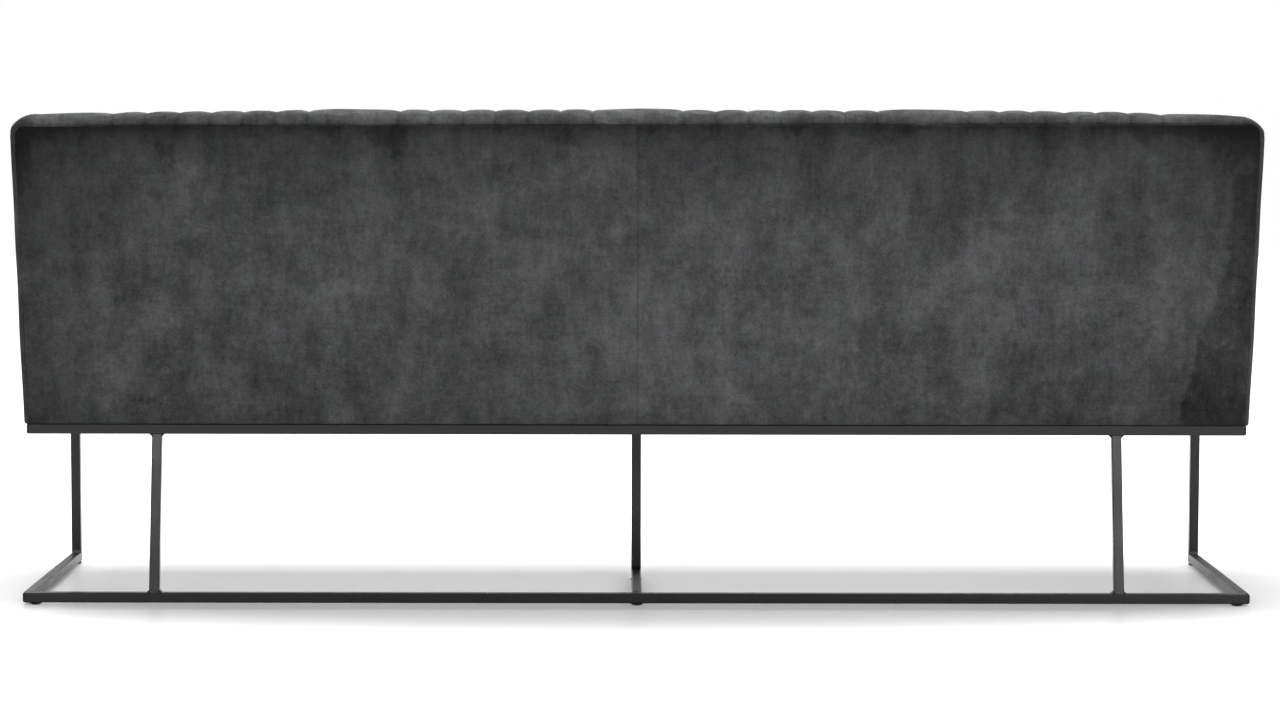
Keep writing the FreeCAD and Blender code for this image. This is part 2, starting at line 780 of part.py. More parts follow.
stitch_level = "channel_depth - back_thickness"
half_crown = "(end_panel - cover_thickness)"
end_radius = f"({half_crown}^2 + channel_depth^2) / (2 * channel_depth)"
cover_start = f"(seat_core + cover_gap - body_bottom - back_core * sin(back_angle)) / cos(back_angle)"
inside_back = new_body("inside_back_cover")
back_section = new_sketch(inside_back, "XY_Plane", cover_start)
across = [
    ("half_width", "-back_core"),
    ("-half_width", "-back_core", "cover_thickness", 1),
    ("-core_half", "-back_thickness", end_radius, 1),
]
groups, channels = int(number("channel_groups")), int(number("channels_per_group"))
for number_of_group in range(groups):
    first = f"end_panel - half_width + {number_of_group} * (channels_per_group * channel_width + plain_width)"
    for channel in range(channels):
        stitch = f"{first} + {channel} * channel_width"
        across.append((stitch, stitch_level, crown("channel_width", "channel_depth"), 1))
    last = f"{first} + {channels} * channel_width"
    plain = crown("plain_width", "channel_depth") if number_of_group < groups - 1 else end_radius
    across.append((last, stitch_level, plain, 1))
across.append(("core_half", "-back_thickness", "cover_thickness", 1))
draw(back_section, across)
back_path = new_sketch(inside_back, "YZ_Plane")
over_top = [
    ("-back_core", cover_start),
    ("-back_core", "core_top - inner_front_radius", "inner_front_radius", -1),
    ("inner_front_radius - back_core", "core_top"),
    ("-back_rear_radius", "core_top", "inner_rear_radius", -1),
    ("-cover_thickness", "back_seam_length"),
]
draw(back_path, over_top, closed=False)
sweep(inside_back, back_section, back_path)
keep(lean_to(inside_back, "0", "0", "0"))

# Seat cover, swept over the seat and down its front, in two crowned panels
seat_panel = crown("core_half", "seat_crown")
seat_start = f"{lean_at('back_thickness', 'seat_core')} - cover_gap"
seat_cover = new_body("seat_cover")
seat_section = new_sketch(seat_cover, "XZ_Plane", f"-({seat_start})")
seat_across = [
    ("-half_width", "seat_core"),
    ("half_width", "seat_core", "cover_thickness - seat_crown", 1),
    ("core_half + seat_crown", "seat_height - seat_crown"),
    ("core_half", "seat_height - seat_crown", seat_panel, 1),
    ("0", "seat_height - seat_crown", seat_panel, 1),
    ("-core_half", "seat_height - seat_crown"),
    ("-core_half - seat_crown", "seat_height - seat_crown", "cover_thickness - seat_crown", 1),
]
draw(seat_section, seat_across)
seat_path = new_sketch(seat_cover, "YZ_Plane")
over_front = [
    (seat_start, "seat_core"),
    ("rear_y - core_front + seat_inner_radius", "seat_core", "seat_inner_radius", 1),
    ("rear_y - core_front", "seat_core - seat_inner_radius"),
    ("rear_y - core_front", "body_bottom"),
]
draw(seat_path, over_front, closed=False)
sweep(seat_cover, seat_section, seat_path)
keep(seat_cover)

# Side covers, each an L that follows the inside of the seat and back covers
side_top = [
    along_back("back_seam_length", "0"),
    (*along_back("back_seam_length", "cover_thickness"), "inner_rear_radius", 1),
    along_back("core_top", "back_rear_radius"),
    (*along_back("core_top", "back_core - inner_front_radius"), "inner_front_radius", 1),
    along_back("core_top - inner_front_radius", "back_core"),
]
side_outline = [
    ("rear_y - core_front", "body_bottom"),
    (lean_at("0", "body_bottom"), "body_bottom"),
    *side_top,
    (lean_at("back_core", "seat_core"), "seat_core"),
    ("rear_y - core_front + seat_inner_radius", "seat_core", "seat_inner_radius", 1),
    ("rear_y - core_front", "seat_core - seat_inner_radius"),
]
rear_edge = number("back_seam_length")
for side, start in (("left", "-half_width"), ("right", "core_half")):
    cover = prism(f"{side}_side_cover", side_outline, start, "cover_thickness")
    outer_x = number("half_width")

    def rear_corner(edge):
        outside = all(abs(abs(vertex.X) - outer_x) < 0.01 for vertex in edge.Vertexes)
        return outside and abs(edge.Length - rear_edge) < 0.01

    round_edges(cover, "side_edge_radius", rear_corner)
    keep(cover)

# Rear cover in two halves, and the dust cover under the seat
for side, start in (("left", "-core_half"), ("right", "0")):
    panel = block(f"{side}_outside_back", "core_half", "velvet_thickness", "back_seam_length - 2 * cover_gap")
    keep(lean_to(panel, start, "cover_gap", "velvet_thickness"))
dust = new_body("dust_cover")
dust_sketch = new_sketch(dust, "XY_Plane", "seat_rail_top")
dust_outline = [
    ("dust_inset - half_width", "rear_y - core_front"),
    ("half_width - dust_inset", "rear_y - core_front"),
    ("half_width - dust_inset", lean_at("post_rear", "body_bottom")),
    ("dust_inset - half_width", lean_at("post_rear", "body_bottom")),
]
draw(dust_sketch, dust_outline)
for x, y, angle in fixings:
    draw_circle(dust_sketch, x, y, "hole_diameter")
pad(dust, dust_sketch, "dust_thickness")
keep(dust)

doc.recompute()
faults = [item.Label for item in doc.Objects if {"Invalid", "Error"} & set(item.State)]
faults += [item.Label for item in nodes if item.Shape.isNull() or not item.Shape.isValid()]
if faults:
    raise RuntimeError("not built: " + ", ".join(faults))

os.makedirs("parts", exist_ok=True)
for item in nodes:
    item.Shape.exportStep(f"parts/{item.Label}.step")
print(len(nodes), "nodes written")
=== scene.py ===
import json
import math
import bpy
import numpy as np
from mathutils import Matrix, Vector


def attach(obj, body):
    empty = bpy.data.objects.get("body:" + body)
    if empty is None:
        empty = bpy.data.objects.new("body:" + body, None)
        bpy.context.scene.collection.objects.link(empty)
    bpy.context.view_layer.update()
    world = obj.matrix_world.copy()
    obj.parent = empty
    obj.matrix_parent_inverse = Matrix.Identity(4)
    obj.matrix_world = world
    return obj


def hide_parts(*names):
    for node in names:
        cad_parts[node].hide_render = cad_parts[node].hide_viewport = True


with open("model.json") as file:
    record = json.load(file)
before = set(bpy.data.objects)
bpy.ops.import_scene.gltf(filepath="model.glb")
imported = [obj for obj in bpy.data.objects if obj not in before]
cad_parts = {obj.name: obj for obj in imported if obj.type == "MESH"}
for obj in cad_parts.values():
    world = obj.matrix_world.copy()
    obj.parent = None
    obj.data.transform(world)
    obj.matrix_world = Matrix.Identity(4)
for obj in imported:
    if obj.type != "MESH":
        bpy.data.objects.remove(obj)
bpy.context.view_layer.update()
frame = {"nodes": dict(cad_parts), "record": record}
nodes = frame["nodes"]

# main sizes of the bench in metres, from the CAD; the roll at the rear top is a little fuller
bench = dict(
    halfWidth=1.105, coreHalf=1.093, bottom=0.321, lean=math.radians(11.5), footY=0.20537, frontY=-0.31463,
    seamRise=0.5485, thick=0.100, frontTop=0.0105, rearTop=0.0297, frontBend=0.050, rearBend=0.026,
    seatTop=0.495, seatBend=0.038,
)
print("frame loaded:", len(nodes), "nodes")


# shared surface tools

def backToWorld(rise, depth):
    # rise runs up along the back, depth from its rear face towards the front
    lean = bench["lean"]
    y = bench["footY"] + rise * math.sin(lean) - depth * math.cos(lean)
    z = bench["bottom"] + rise * math.cos(lean) + depth * math.sin(lean)
    return y, z


def pathCounts(corners, radii, step):
    # how many samples each straight run and each arc gets, in turn
    lengths = np.linalg.norm(np.diff(np.array(corners, float), axis=0), axis=1)
    counts = []
    for k, length in enumerate(lengths):
        counts.append(max(int(length / step), 3))
        if k < len(radii):
            counts.append(max(int(2.5 * radii[k] / step), 7))
    return counts


def bendPath(corners, radii, counts):
    # straight runs joined by arcs, one arc at each inner corner
    pts = np.array(corners, float)
    runs = []
    start = pts[0]
    for k, radius in enumerate(radii, 1):
        a, b = pts[k - 1] - pts[k], pts[k + 1] - pts[k]
        a, b = a / np.linalg.norm(a), b / np.linalg.norm(b)
        half = math.acos(np.clip(a @ b, -1, 1)) / 2
        p, q = pts[k] + a * radius / math.tan(half), pts[k] + b * radius / math.tan(half)
        center = pts[k] + (a + b) / np.linalg.norm(a + b) * radius / math.sin(half)
        runs.append(start + (p - start) * np.linspace(0, 1, counts[2 * k - 2], endpoint=False)[:, None])
        t0 = math.atan2(*(p - center)[::-1])
        sweep = (math.atan2(*(q - center)[::-1]) - t0 + math.pi) % (2 * math.pi) - math.pi
        t = t0 + sweep * np.linspace(0, 1, counts[2 * k - 1], endpoint=False)
        runs.append(center + radius * np.column_stack([np.cos(t), np.sin(t)]))
        start = q
    runs.append(start + (pts[-1] - start) * np.linspace(0, 1, counts[-1])[:, None])
    return np.vstack(runs)


def alongPath(line):
    # length run so far, and the unit normal to the right of the run
    run = np.concatenate([[0], np.cumsum(np.linalg.norm(np.diff(line, axis=0), axis=1))])
    tangent = np.gradient(line, run, axis=0)
    tangent /= np.linalg.norm(tangent, axis=1)[:, None]
    return run, np.column_stack([tangent[:, 1], -tangent[:, 0]])


def softNoise(u, v, size, seed, waves=14):
    # sum of plane waves of about one size in seeded directions, between about -1 and 1
    rng = np.random.default_rng(seed)
    angle, phase = rng.uniform(0, 2 * math.pi, (2, waves))
    pitch = 2 * math.pi / size * rng.uniform(0.6, 1.5, waves)
    total = sum(np.sin(k * (u * math.cos(a) + v * math.sin(a)) + p) for k, a, p in zip(pitch, angle, phase))
    return total / math.sqrt(waves) * 0.8


def smooth(t):
    t = np.clip(t, 0, 1)
    return t * t * (3 - 2 * t)


def addPiece(name, mesh, material):
    # smooth shaded object that rides on the root body
    mesh.polygons.foreach_set("use_smooth", np.ones(len(mesh.polygons), bool))
    mesh.materials.append(material)
    mesh.update()
    piece = bpy.data.objects.new(name, mesh)
    bpy.context.scene.collection.objects.link(piece)
    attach(piece, "root")
    return piece


def gridPiece(name, points, uv, material, attributes=()):
    # quads over a grid of points (rows, columns, 3), with a UV map in metres
    rows, cols = points.shape[:2]
    index = np.arange(rows * cols).reshape(rows, cols)
    quads = np.stack([index[:-1, :-1], index[1:, :-1], index[1:, 1:], index[:-1, 1:]], -1).reshape(-1, 4)
    mesh = bpy.data.meshes.new(name)
    mesh.from_pydata(points.reshape(-1, 3).tolist(), [], quads.tolist())
    layer = mesh.uv_layers.new(name="cloth")
    corner = np.zeros(len(mesh.loops), np.int32)
    mesh.loops.foreach_get("vertex_index", corner)
    layer.data.foreach_set("uv", uv.reshape(-1, 2)[corner].astype(np.float32).ravel())
    for label, values in attributes:
        channel = mesh.attributes.new(label, "FLOAT", "POINT")
        channel.data.foreach_set("value", values.astype(np.float32).ravel())
    return addPiece(name, mesh, material)


def backCloth(piece, thickness):
    # gives the cloth its thickness, inwards
    wall = piece.modifiers.new("thickness", "SOLIDIFY")
    wall.thickness = thickness
    wall.offset = -1
    wall.use_even_offset = False


clothSetup = dict(mass=0.4, shearShare=0.4, damping=12, frames=20)


def settleCloth(piece, sewn, cloth):
    # blows the cloth out from inside with its sewn points held, then keeps each point's move under a cap
    # and its way inwards under sink
    mesh = piece.data
    count = len(mesh.vertices)
    before = np.zeros(count * 3, np.float32)
    mesh.vertices.foreach_get("co", before)
    outward = np.zeros(count * 3, np.float32)
    mesh.vertices.foreach_get("normal", outward)
    outward = outward.reshape(-1, 3)
    group = piece.vertex_groups.new(name="sewn")
    group.add(np.flatnonzero(sewn.ravel()).tolist(), 1.0, "REPLACE")
    blow = piece.modifiers.new("blow", "CLOTH")
    setup = blow.settings
    setup.quality = cloth["quality"]
    setup.mass = clothSetup["mass"]
    setup.tension_stiffness = setup.compression_stiffness = cloth["stiff"]
    setup.shear_stiffness = cloth["stiff"] * clothSetup["shearShare"]
    setup.bending_stiffness = cloth["bend"]
    setup.tension_damping = setup.compression_damping = setup.shear_damping = clothSetup["damping"]
    setup.use_pressure = True
    setup.uniform_pressure_force = cloth["pressure"]
    setup.shrink_min = -cloth["slack"]
    setup.vertex_group_mass = "sewn"
    setup.effector_weights.gravity = 0
    blow.collision_settings.use_collision = False
    blow.point_cache.frame_start, blow.point_cache.frame_end = 1, clothSetup["frames"]
    scene = bpy.context.scene
    for step in range(1, clothSetup["frames"] + 1):
        scene.frame_set(step)
    settled = piece.evaluated_get(bpy.context.evaluated_depsgraph_get())
    after = np.zeros(count * 3, np.float32)
    settled.data.vertices.foreach_get("co", after)
    move = (after - before).reshape(-1, 3)
    size = np.linalg.norm(move, axis=1)[:, None]
    move *= cloth["cap"] * np.tanh(size / cloth["cap"]) / np.maximum(size, 1e-9)
    tooDeep = np.minimum((move * outward).sum(1) + cloth["sink"], 0)
    move -= outward * tooDeep[:, None]  # the frame is right under the cloth
    piece.modifiers.remove(blow)
    piece.vertex_groups.remove(group)
    scene.frame_set(1)
    mesh.vertices.foreach_set("co", before + move.ravel())
    mesh.update()
    moves = [round(float(value) * 1000, 2) for value in (size.mean(), size.max())]
    print(piece.name, "settled, mean move", moves[0], "mm, most", moves[1], "mm")


def edgeColumns(reach, flange, steps, draw=0.0):
    # quarter turn over a side edge, then a short flange drawn in under the next cover
    # gives the way out along x, the share in from the face and the depth of the flange
    t = np.linspace(0, 1, steps + 1)[1:] * math.pi / 2
    share = np.linspace(0, 1, 4)[1:]
    out = np.concatenate([np.sin(t) * reach, reach - draw * share])
    return out, np.concatenate([1 - np.cos(t), np.ones(3)]), np.concatenate([np.zeros(steps), share * flange])


# materials

def newMaterial(name):
    material = bpy.data.materials.new(name)
    material.use_nodes = True
    tree = material.node_tree
    return material, tree, tree.nodes["Principled BSDF"]


def addNode(tree, kind, values=None, **settings):
    node = tree.nodes.new(kind)
    for key, value in settings.items():
        setattr(node, key, value)
    for key, value in (values or {}).items():
        node.inputs[key].default_value = value
    return node


def mathNode(tree, operation, a, b=0.0, clamp=False):
    node = addNode(tree, "ShaderNodeMath", operation=operation, use_clamp=clamp)
    for place, item in enumerate((a, b)):
        if isinstance(item, (int, float)):
            node.inputs[place].default_value = item
        else:
            tree.links.new(item, node.inputs[place])
    return node.outputs[0]


def pileGroup():
    # brushed pile: cloudy patches, up-and-down streaks, dark rubbed blotches and fine fuzz
    tree = bpy.data.node_groups.new("brushedPile", "ShaderNodeTree")
    face = tree.interface
    face.new_socket("Vector", in_out="INPUT", socket_type="NodeSocketVector")
    for label, value in (("Patch", 1.0), ("Streak", 1.0), ("Blotch", 1.0), ("Fuzz", 1.0)):
        face.new_socket(label, in_out="INPUT", socket_type="NodeSocketFloat").default_value = value
    for label, kind in (("Shade", "Float"), ("Tint", "Color"), ("Height", "Float")):
        face.new_socket(label, in_out="OUTPUT", socket_type="NodeSocket" + kind)
    start, end = addNode(tree, "NodeGroupInput"), addNode(tree, "NodeGroupOutput")
    link = tree.links.new

    def noise(scale, detail, rough, stretch=(1, 1, 1), shift=0.0, distort=0.0):
        mapping = addNode(tree, "ShaderNodeMapping")
        mapping.inputs["Scale"].default_value = stretch
        mapping.inputs["Location"].default_value = (shift, shift * 0.7, shift * 1.3)
        link(start.outputs["Vector"], mapping.inputs["Vector"])
        values = {"Scale": scale, "Detail": detail, "Roughness": rough, "Distortion": distort}
        node = addNode(tree, "ShaderNodeTexNoise", values)
        link(mapping.outputs[0], node.inputs["Vector"])
        return node

    clouds = noise(1.9, 2, 0.6, shift=3.1, distort=0.25)
    clumps = noise(9, 7, 0.93, shift=7.7)
    streaks = noise(13, 4, 0.75, stretch=(1, 1, 0.14), shift=1.9)
    blots = noise(14, 5, 0.7, stretch=(1, 1, 0.6), shift=12.3, distort=0.3)
    fuzz = noise(300, 2, 0.8, shift=0.4)
    across = noise(210, 1, 0.5, stretch=(0.07, 0.3, 1), shift=2.2)
    upright = noise(210, 1, 0.5, stretch=(1, 0.3, 0.07), shift=8.2)
    tint = noise(22, 3, 0.7, shift=5.0)

    def centred(node, gain, strength):
        offset = mathNode(tree, "SUBTRACT", node.outputs["Fac"], 0.5)
        return mathNode(tree, "MULTIPLY", mathNode(tree, "MULTIPLY", offset, gain), start.outputs[strength])

    # dark where the pile was stroked the other way; the edges follow the noise
    stroked = mathNode(tree, "MULTIPLY", start.outputs["Blotch"], 0.35)
    raised = mathNode(tree, "ADD", blots.outputs["Fac"], stroked)
    darkSpan = {"From Min": 0.66, "From Max": 0.82, "To Min": 0.0, "To Max": 0.24}
    dark = addNode(tree, "ShaderNodeMapRange", darkSpan, interpolation_type="SMOOTHSTEP")
    link(raised, dark.inputs["Value"])
    shade = mathNode(tree, "SUBTRACT", 1.0, dark.outputs[0])
    layers = (
        (clouds, 0.55, "Patch"), (clumps, 1.5, "Patch"), (streaks, 0.75, "Streak"),
        (fuzz, 0.45, "Fuzz"), (across, 0.10, "Fuzz"), (upright, 0.08, "Fuzz"),
    )
    for node, gain, strength in layers:
        shade = mathNode(tree, "ADD", shade, centred(node, gain, strength))
    link(mathNode(tree, "POWER", mathNode(tree, "MAXIMUM", shade, 0.0), 2.2), end.inputs["Shade"])
    link(tint.outputs["Color"], end.inputs["Tint"])
    nap = mathNode(tree, "MULTIPLY", fuzz.outputs["Fac"], 0.5)
    height = mathNode(tree, "ADD", nap, clumps.outputs["Fac"])
    link(height, end.inputs["Height"])
    return tree


pile = pileGroup()

velvetLook = dict(
    colour=(0.0429, 0.0437, 0.0442, 1), tint=0.011, rough=0.9, specular=0.15, touched=0.15,
    sheen=0.10, sheenRough=0.35, sheenTint=(0.75, 0.78, 0.8, 1), bump=0.2, bumpDepth=0.002,
)


def velvetMaterial(name):
    # dark grey velvet; one attribute darkens or lightens it with painted shade and painted light (seams,
    # creases, turned edges, the roll's top, the lower rear panel) and some tone, and hand is where it has been
    # touched
    material, tree, bsdf = newMaterial(name)
    link = tree.links.new
    coords = addNode(tree, "ShaderNodeTexCoord")
    group = addNode(tree, "ShaderNodeGroup", node_tree=pile)
    link(coords.outputs["Object"], group.inputs["Vector"])
    hand = addNode(tree, "ShaderNodeAttribute", attribute_name="hand")
    link(hand.outputs["Fac"], group.inputs["Blotch"])
    paintedShadingAndTone = addNode(tree, "ShaderNodeAttribute", attribute_name="paintedShadingAndTone")
    # painted shade and painted light: the pile colour times one minus that attribute
    kept = mathNode(tree, "SUBTRACT", 1.0, paintedShadingAndTone.outputs["Fac"])
    shadedPile = mathNode(tree, "MULTIPLY", group.outputs["Shade"], kept)
    tinted = addNode(tree, "ShaderNodeMix", data_type="RGBA", blend_type="MIX")
    tinted.inputs[0].default_value = velvetLook["tint"]
    tinted.inputs[6].default_value = velvetLook["colour"]
    link(group.outputs["Tint"], tinted.inputs[7])
    colour = addNode(tree, "ShaderNodeVectorMath", operation="SCALE")
    link(tinted.outputs[2], colour.inputs[0])
    link(shadedPile, colour.inputs["Scale"])
    link(colour.outputs[0], bsdf.inputs["Base Color"])
    bsdf.inputs["Roughness"].default_value = velvetLook["rough"]
    bsdf.inputs["Specular IOR Level"].default_value = velvetLook["specular"]
    bsdf.inputs["Sheen Weight"].default_value = velvetLook["sheen"]
    bsdf.inputs["Sheen Roughness"].default_value = velvetLook["sheenRough"]
    bsdf.inputs["Sheen Tint"].default_value = velvetLook["sheenTint"]
    relief = {"Strength": velvetLook["bump"], "Distance": velvetLook["bumpDepth"]}
    bump = addNode(tree, "ShaderNodeBump", relief)
    link(group.outputs["Height"], bump.inputs["Height"])
    link(bump.outputs[0], bsdf.inputs["Normal"])
    return material


def coatedSteel(name, colour, rough, gleam):
    # powder coat: fine orange-peel bump and a little change of gloss
    material, tree, bsdf = newMaterial(name)
    link = tree.links.new
    coords = addNode(tree, "ShaderNodeTexCoord")
    peel = addNode(tree, "ShaderNodeTexNoise", {"Scale": 700.0, "Detail": 2.0, "Roughness": 0.5})
    cloud = addNode(tree, "ShaderNodeTexNoise", {"Scale": 9.0, "Detail": 4.0, "Roughness": 0.55})
    for node in (peel, cloud):
        link(coords.outputs["Object"], node.inputs["Vector"])
    bsdf.inputs["Specular IOR Level"].default_value = gleam
    glossSpan = {"From Min": 0.3, "From Max": 0.7, "To Min": rough - 0.06, "To Max": rough + 0.06}
    gloss = addNode(tree, "ShaderNodeMapRange", glossSpan)
    link(cloud.outputs["Fac"], gloss.inputs["Value"])
    link(gloss.outputs[0], bsdf.inputs["Roughness"])
    shadeSpan = {"From Min": 0.3, "From Max": 0.7, "To Min": 0.8, "To Max": 1.2}
    shade = addNode(tree, "ShaderNodeMapRange", shadeSpan)
    link(cloud.outputs["Fac"], shade.inputs["Value"])
    tone = addNode(tree, "ShaderNodeVectorMath", operation="SCALE")
    tone.inputs[0].default_value = colour
    link(shade.outputs[0], tone.inputs["Scale"])
    link(tone.outputs[0], bsdf.inputs["Base Color"])
    bump = addNode(tree, "ShaderNodeBump", {"Strength": 0.12, "Distance": 0.0004})
    link(peel.outputs["Fac"], bump.inputs["Height"])
    link(bump.outputs[0], bsdf.inputs["Normal"])
    return material


velvet = velvetMaterial("velvet")
blackSteel = coatedSteel("blackSteel", (0.0072, 0.0072, 0.0074), 0.30, 0.30)
blackPlastic = coatedSteel("blackPlastic", (0.009, 0.009, 0.0092), 0.55, 0.25)


def roughStuff(name, colour, second, scale, stretch, rough, bump, metal=0.0):
    # two tones mixed by a stretched noise, with a bump from the same noise
    material, tree, bsdf = newMaterial(name)
    link = tree.links.new
    coords = addNode(tree, "ShaderNodeTexCoord")
    mapping = addNode(tree, "ShaderNodeMapping", {"Scale": stretch})
    grainSet = {"Scale": scale, "Detail": 5.0, "Roughness": 0.65, "Distortion": 0.4}
    grain = addNode(tree, "ShaderNodeTexNoise", grainSet)
    link(coords.outputs["Object"], mapping.inputs["Vector"])
    link(mapping.outputs[0], grain.inputs["Vector"])
    tones = addNode(tree, "ShaderNodeMix", {6: (*colour, 1), 7: (*second, 1)}, data_type="RGBA")
    spread = addNode(tree, "ShaderNodeMapRange", {"From Min": 0.35, "From Max": 0.65})
    link(grain.outputs["Fac"], spread.inputs["Value"])
    link(spread.outputs[0], tones.inputs[0])
    link(tones.outputs[2], bsdf.inputs["Base Color"])
    gloss = addNode(tree, "ShaderNodeMapRange", {"To Min": rough - 0.08, "To Max": rough + 0.08})
    link(grain.outputs["Fac"], gloss.inputs["Value"])
    link(gloss.outputs[0], bsdf.inputs["Roughness"])
    bsdf.inputs["Metallic"].default_value = metal
    lump = addNode(tree, "ShaderNodeBump", {"Strength": bump, "Distance": 0.001})
    link(grain.outputs["Fac"], lump.inputs["Height"])
    link(lump.outputs[0], bsdf.inputs["Normal"])
    return material


def dotClothMaterial(name):
    # black spun cloth with rows of small pressed dots
    material, tree, bsdf = newMaterial(name)
    link = tree.links.new
    coords = addNode(tree, "ShaderNodeTexCoord")
    dots = addNode(tree, "ShaderNodeTexVoronoi", {"Scale": 420.0, "Randomness": 0.15})
    fibres = addNode(tree, "ShaderNodeTexNoise", {"Scale": 260.0, "Detail": 4.0, "Roughness": 0.7})
    for node in (dots, fibres):
        link(coords.outputs["Object"], node.inputs["Vector"])
    toneSpan = {"From Min": 0.3, "From Max": 0.7, "To Min": 0.010, "To Max": 0.022}
    tone = addNode(tree, "ShaderNodeMapRange", toneSpan)
    link(fibres.outputs["Fac"], tone.inputs["Value"])
    link(tone.outputs[0], bsdf.inputs["Base Color"])
    bsdf.inputs["Roughness"].default_value = 0.85
    bump = addNode(tree, "ShaderNodeBump", {"Strength": 0.5, "Distance": 0.0004})
    lumps = mathNode(tree, "MULTIPLY", fibres.outputs["Fac"], 0.4)
    link(mathNode(tree, "ADD", dots.outputs["Distance"], lumps), bump.inputs["Height"])
    link(bump.outputs[0], bsdf.inputs["Normal"])
    return material


even = (1, 1, 1)  # noise that isn't stretched
slotLooks = {
    "black_steel": blackSteel,
    "black_plastic": blackPlastic,
    "velvet": velvet,
    "dust_cloth": dotClothMaterial("dustCloth"),
    "pine": roughStuff("pineWood", (0.62, 0.42, 0.22), (0.45, 0.27, 0.12), 9.0, (1, 8, 1.5), 0.6, 0.2),
    "hardboard": roughStuff("hardboard", (0.24, 0.14, 0.07), (0.17, 0.095, 0.045), 160.0, even, 0.7, 0.3),
    "foam": roughStuff("foamCells", (0.78, 0.74, 0.62), (0.68, 0.63, 0.50), 500.0, even, 0.9, 0.6),
    "felt": roughStuff("feltPad", (0.30, 0.30, 0.31), (0.16, 0.17, 0.19), 90.0, even, 0.95, 0.7),
    "webbing": roughStuff("webbingBand", (0.03, 0.03, 0.032), (0.09, 0.09, 0.085), 300.0, (1, 6, 1), 0.8, 0.6),
    "zinc_steel": roughStuff("zincSteel", (0.56, 0.57, 0.58), (0.42, 0.43, 0.45), 60.0, even, 0.35, 0.1, 1.0),
    "spring_steel": roughStuff("springSteel", (0.2, 0.2, 0.21), (0.12, 0.12, 0.13), 60.0, even, 0.4, 0.1, 1.0),
}
for entry in frame["record"]["subparts"]:
    look = slotLooks.get(entry["material_slot"])
    if look:
        mesh = nodes[entry["node"]].data
        mesh.materials.clear()
        mesh.materials.append(look)
print("materials ready")

# rear cover values, also used where the inside back meets it
# topDark, lowDark: strength and reach of painted shade; tones: place from the middle, reach and strength, on
# each half
# wedge: distance below the seam and place from the middle

rear = dict(
    half=1.0962, step=0.006, columns=170, edge=0.003, flange=0.006, proud=0.0006, cloth=0.0016,
    seamGap=0.0008, turnIn=0.010, topBend=0.004, topStart=0.012, corner=0.018, crooked=(-0.0012, 0.0036),
    crown=0.0028, wobble=0.0005, gather=0.0006, middleTuck=0.0016, seamEase=0.09,
    topDark=((0.43, 0.031), (0.25, 0.11)), lowDark=(0.34, 0.045), pale=0.28,
    sideDark={1: 0.48, -1: 0.40}, sideReach=0.12, middleDark=0.2, hand=0.62,
    tones={
        1: ((0.0, 0.14, 0.12), (0.66, 0.15, -0.10)),
        -1: ((0.0, 0.12, 0.10), (0.38, 0.26, -0.10), (0.72, 0.12, -0.12)),
    },
    wedge=((0.0, 1.075), (0.09, 1.058), (0.236, 1.046), (0.351, 1.014), (0.454, 0.991), (0.56, 0.972)),
)


def seamDrop(x):
    # the rear seam below its level: sewn a little crooked, corner * (1 - sqrt(1 - t^2)) at both ends
    t = np.clip((np.abs(x) - rear["half"]) / rear["corner"] + 1, 0, 0.995)
    return rear["crooked"][0] + rear["crooked"][1] * x + rear["corner"] * (1 - np.sqrt(1 - t**2))


# inside back: sewn channels up the front, over the top and down to the rear seam
# droop: place along x and how far the top hangs there

back = dict(
    groups=4, perGroup=6, plainWidth=0.160, endPanel=0.181, tuckRise=0.110, below=0.036, tuck=0.005,
    counts=(66, 20, 8, 18, 26), frontDepth=0.0095, topDepth=0.0055, seamDepth=0.0032, slim=0.0028,
    wobble=0.0006, pucker=0.0007, boardFloor=-0.0012, hideDepth=0.013, cloth=0.004,
    droop=(
        (-1.105, 0.0150), (-1.075, 0.0136), (-1.04, 0.0104), (-0.953, 0.0066), (-0.865, 0.0030),
        (-0.78, 0.0012), (-0.6, 0.0004), (0.0, 0.0), (0.3, 0.0005), (0.6, 0.0024), (0.9, 0.0064),
        (0.988, 0.0102), (1.077, 0.0136), (1.105, 0.0130),
    ),
    sideReach=0.042, sideSteps=9, sideDraw=0.004, flange=0.005,
    topRound=0.037, frontRound=0.022, rearRound=0.012,
)
backBlow = dict(quality=6, stiff=18.0, bend=0.6, pressure=4.0, slack=0.012, cap=0.004, sink=0.004)


def panelColumns(left, right, count):
    # columns closer together at both stitch lines; xi runs from -1 to 1
    t = np.linspace(0, 1, count, endpoint=False)
    x = left + (right - left) * (0.5 - 0.5 * np.cos(math.pi * t))
    return x, (x - left) / (right - left) * 2 - 1


def backColumns():
    # stitch lines across the back, then columns in each panel between them
    half = bench["halfWidth"] - back["sideReach"]
    stitched = 2 * bench["halfWidth"] - 2 * back["endPanel"] - (back["groups"] - 1) * back["plainWidth"]
    channel = stitched / back["groups"] / back["perGroup"]
    stitches = []
    for group in range(back["groups"]):
        pitch = back["perGroup"] * channel + back["plainWidth"]
        first = back["endPanel"] - bench["halfWidth"] + group * pitch
        stitches += [first + k * channel for k in range(back["perGroup"] + 1)]
    lines = [-half, *stitches, half]
    xs, xis, kinds = [], [], []
    for left, right in zip(lines[:-1], lines[1:]):
        wide = right - left > 1.5 * channel
        x, xi = panelColumns(left, right, 20 if wide else 12)
        xs.append(x)
        xis.append(xi)
        kinds.append(np.full(len(x), 1.0 if wide else 0.0))
    ends = ((xs, half), (xis, 1.0), (kinds, 1.0))
    xs, xis, kinds = (np.concatenate([*parts, [last]]) for parts, last in ends)
    return xs, xis, kinds, np.array(stitches)


def backPath(front, over, behind):
    # the run of the cover, drawn in by different amounts at the front, the top and the rear
    face, seam = bench["thick"] - front, bench["seamRise"]
    top, rearTop = (seam + bench[key] - over for key in ("frontTop", "rearTop"))
    corners = [(face, back["tuckRise"]), (face, top), (behind, rearTop), (behind, seam - back["below"])]
    radii = [max(bench["frontBend"] - 0.9 * over, 0.008), max(bench["rearBend"] - 0.45 * over, 0.006)]
    return bendPath(corners, radii, back["counts"])


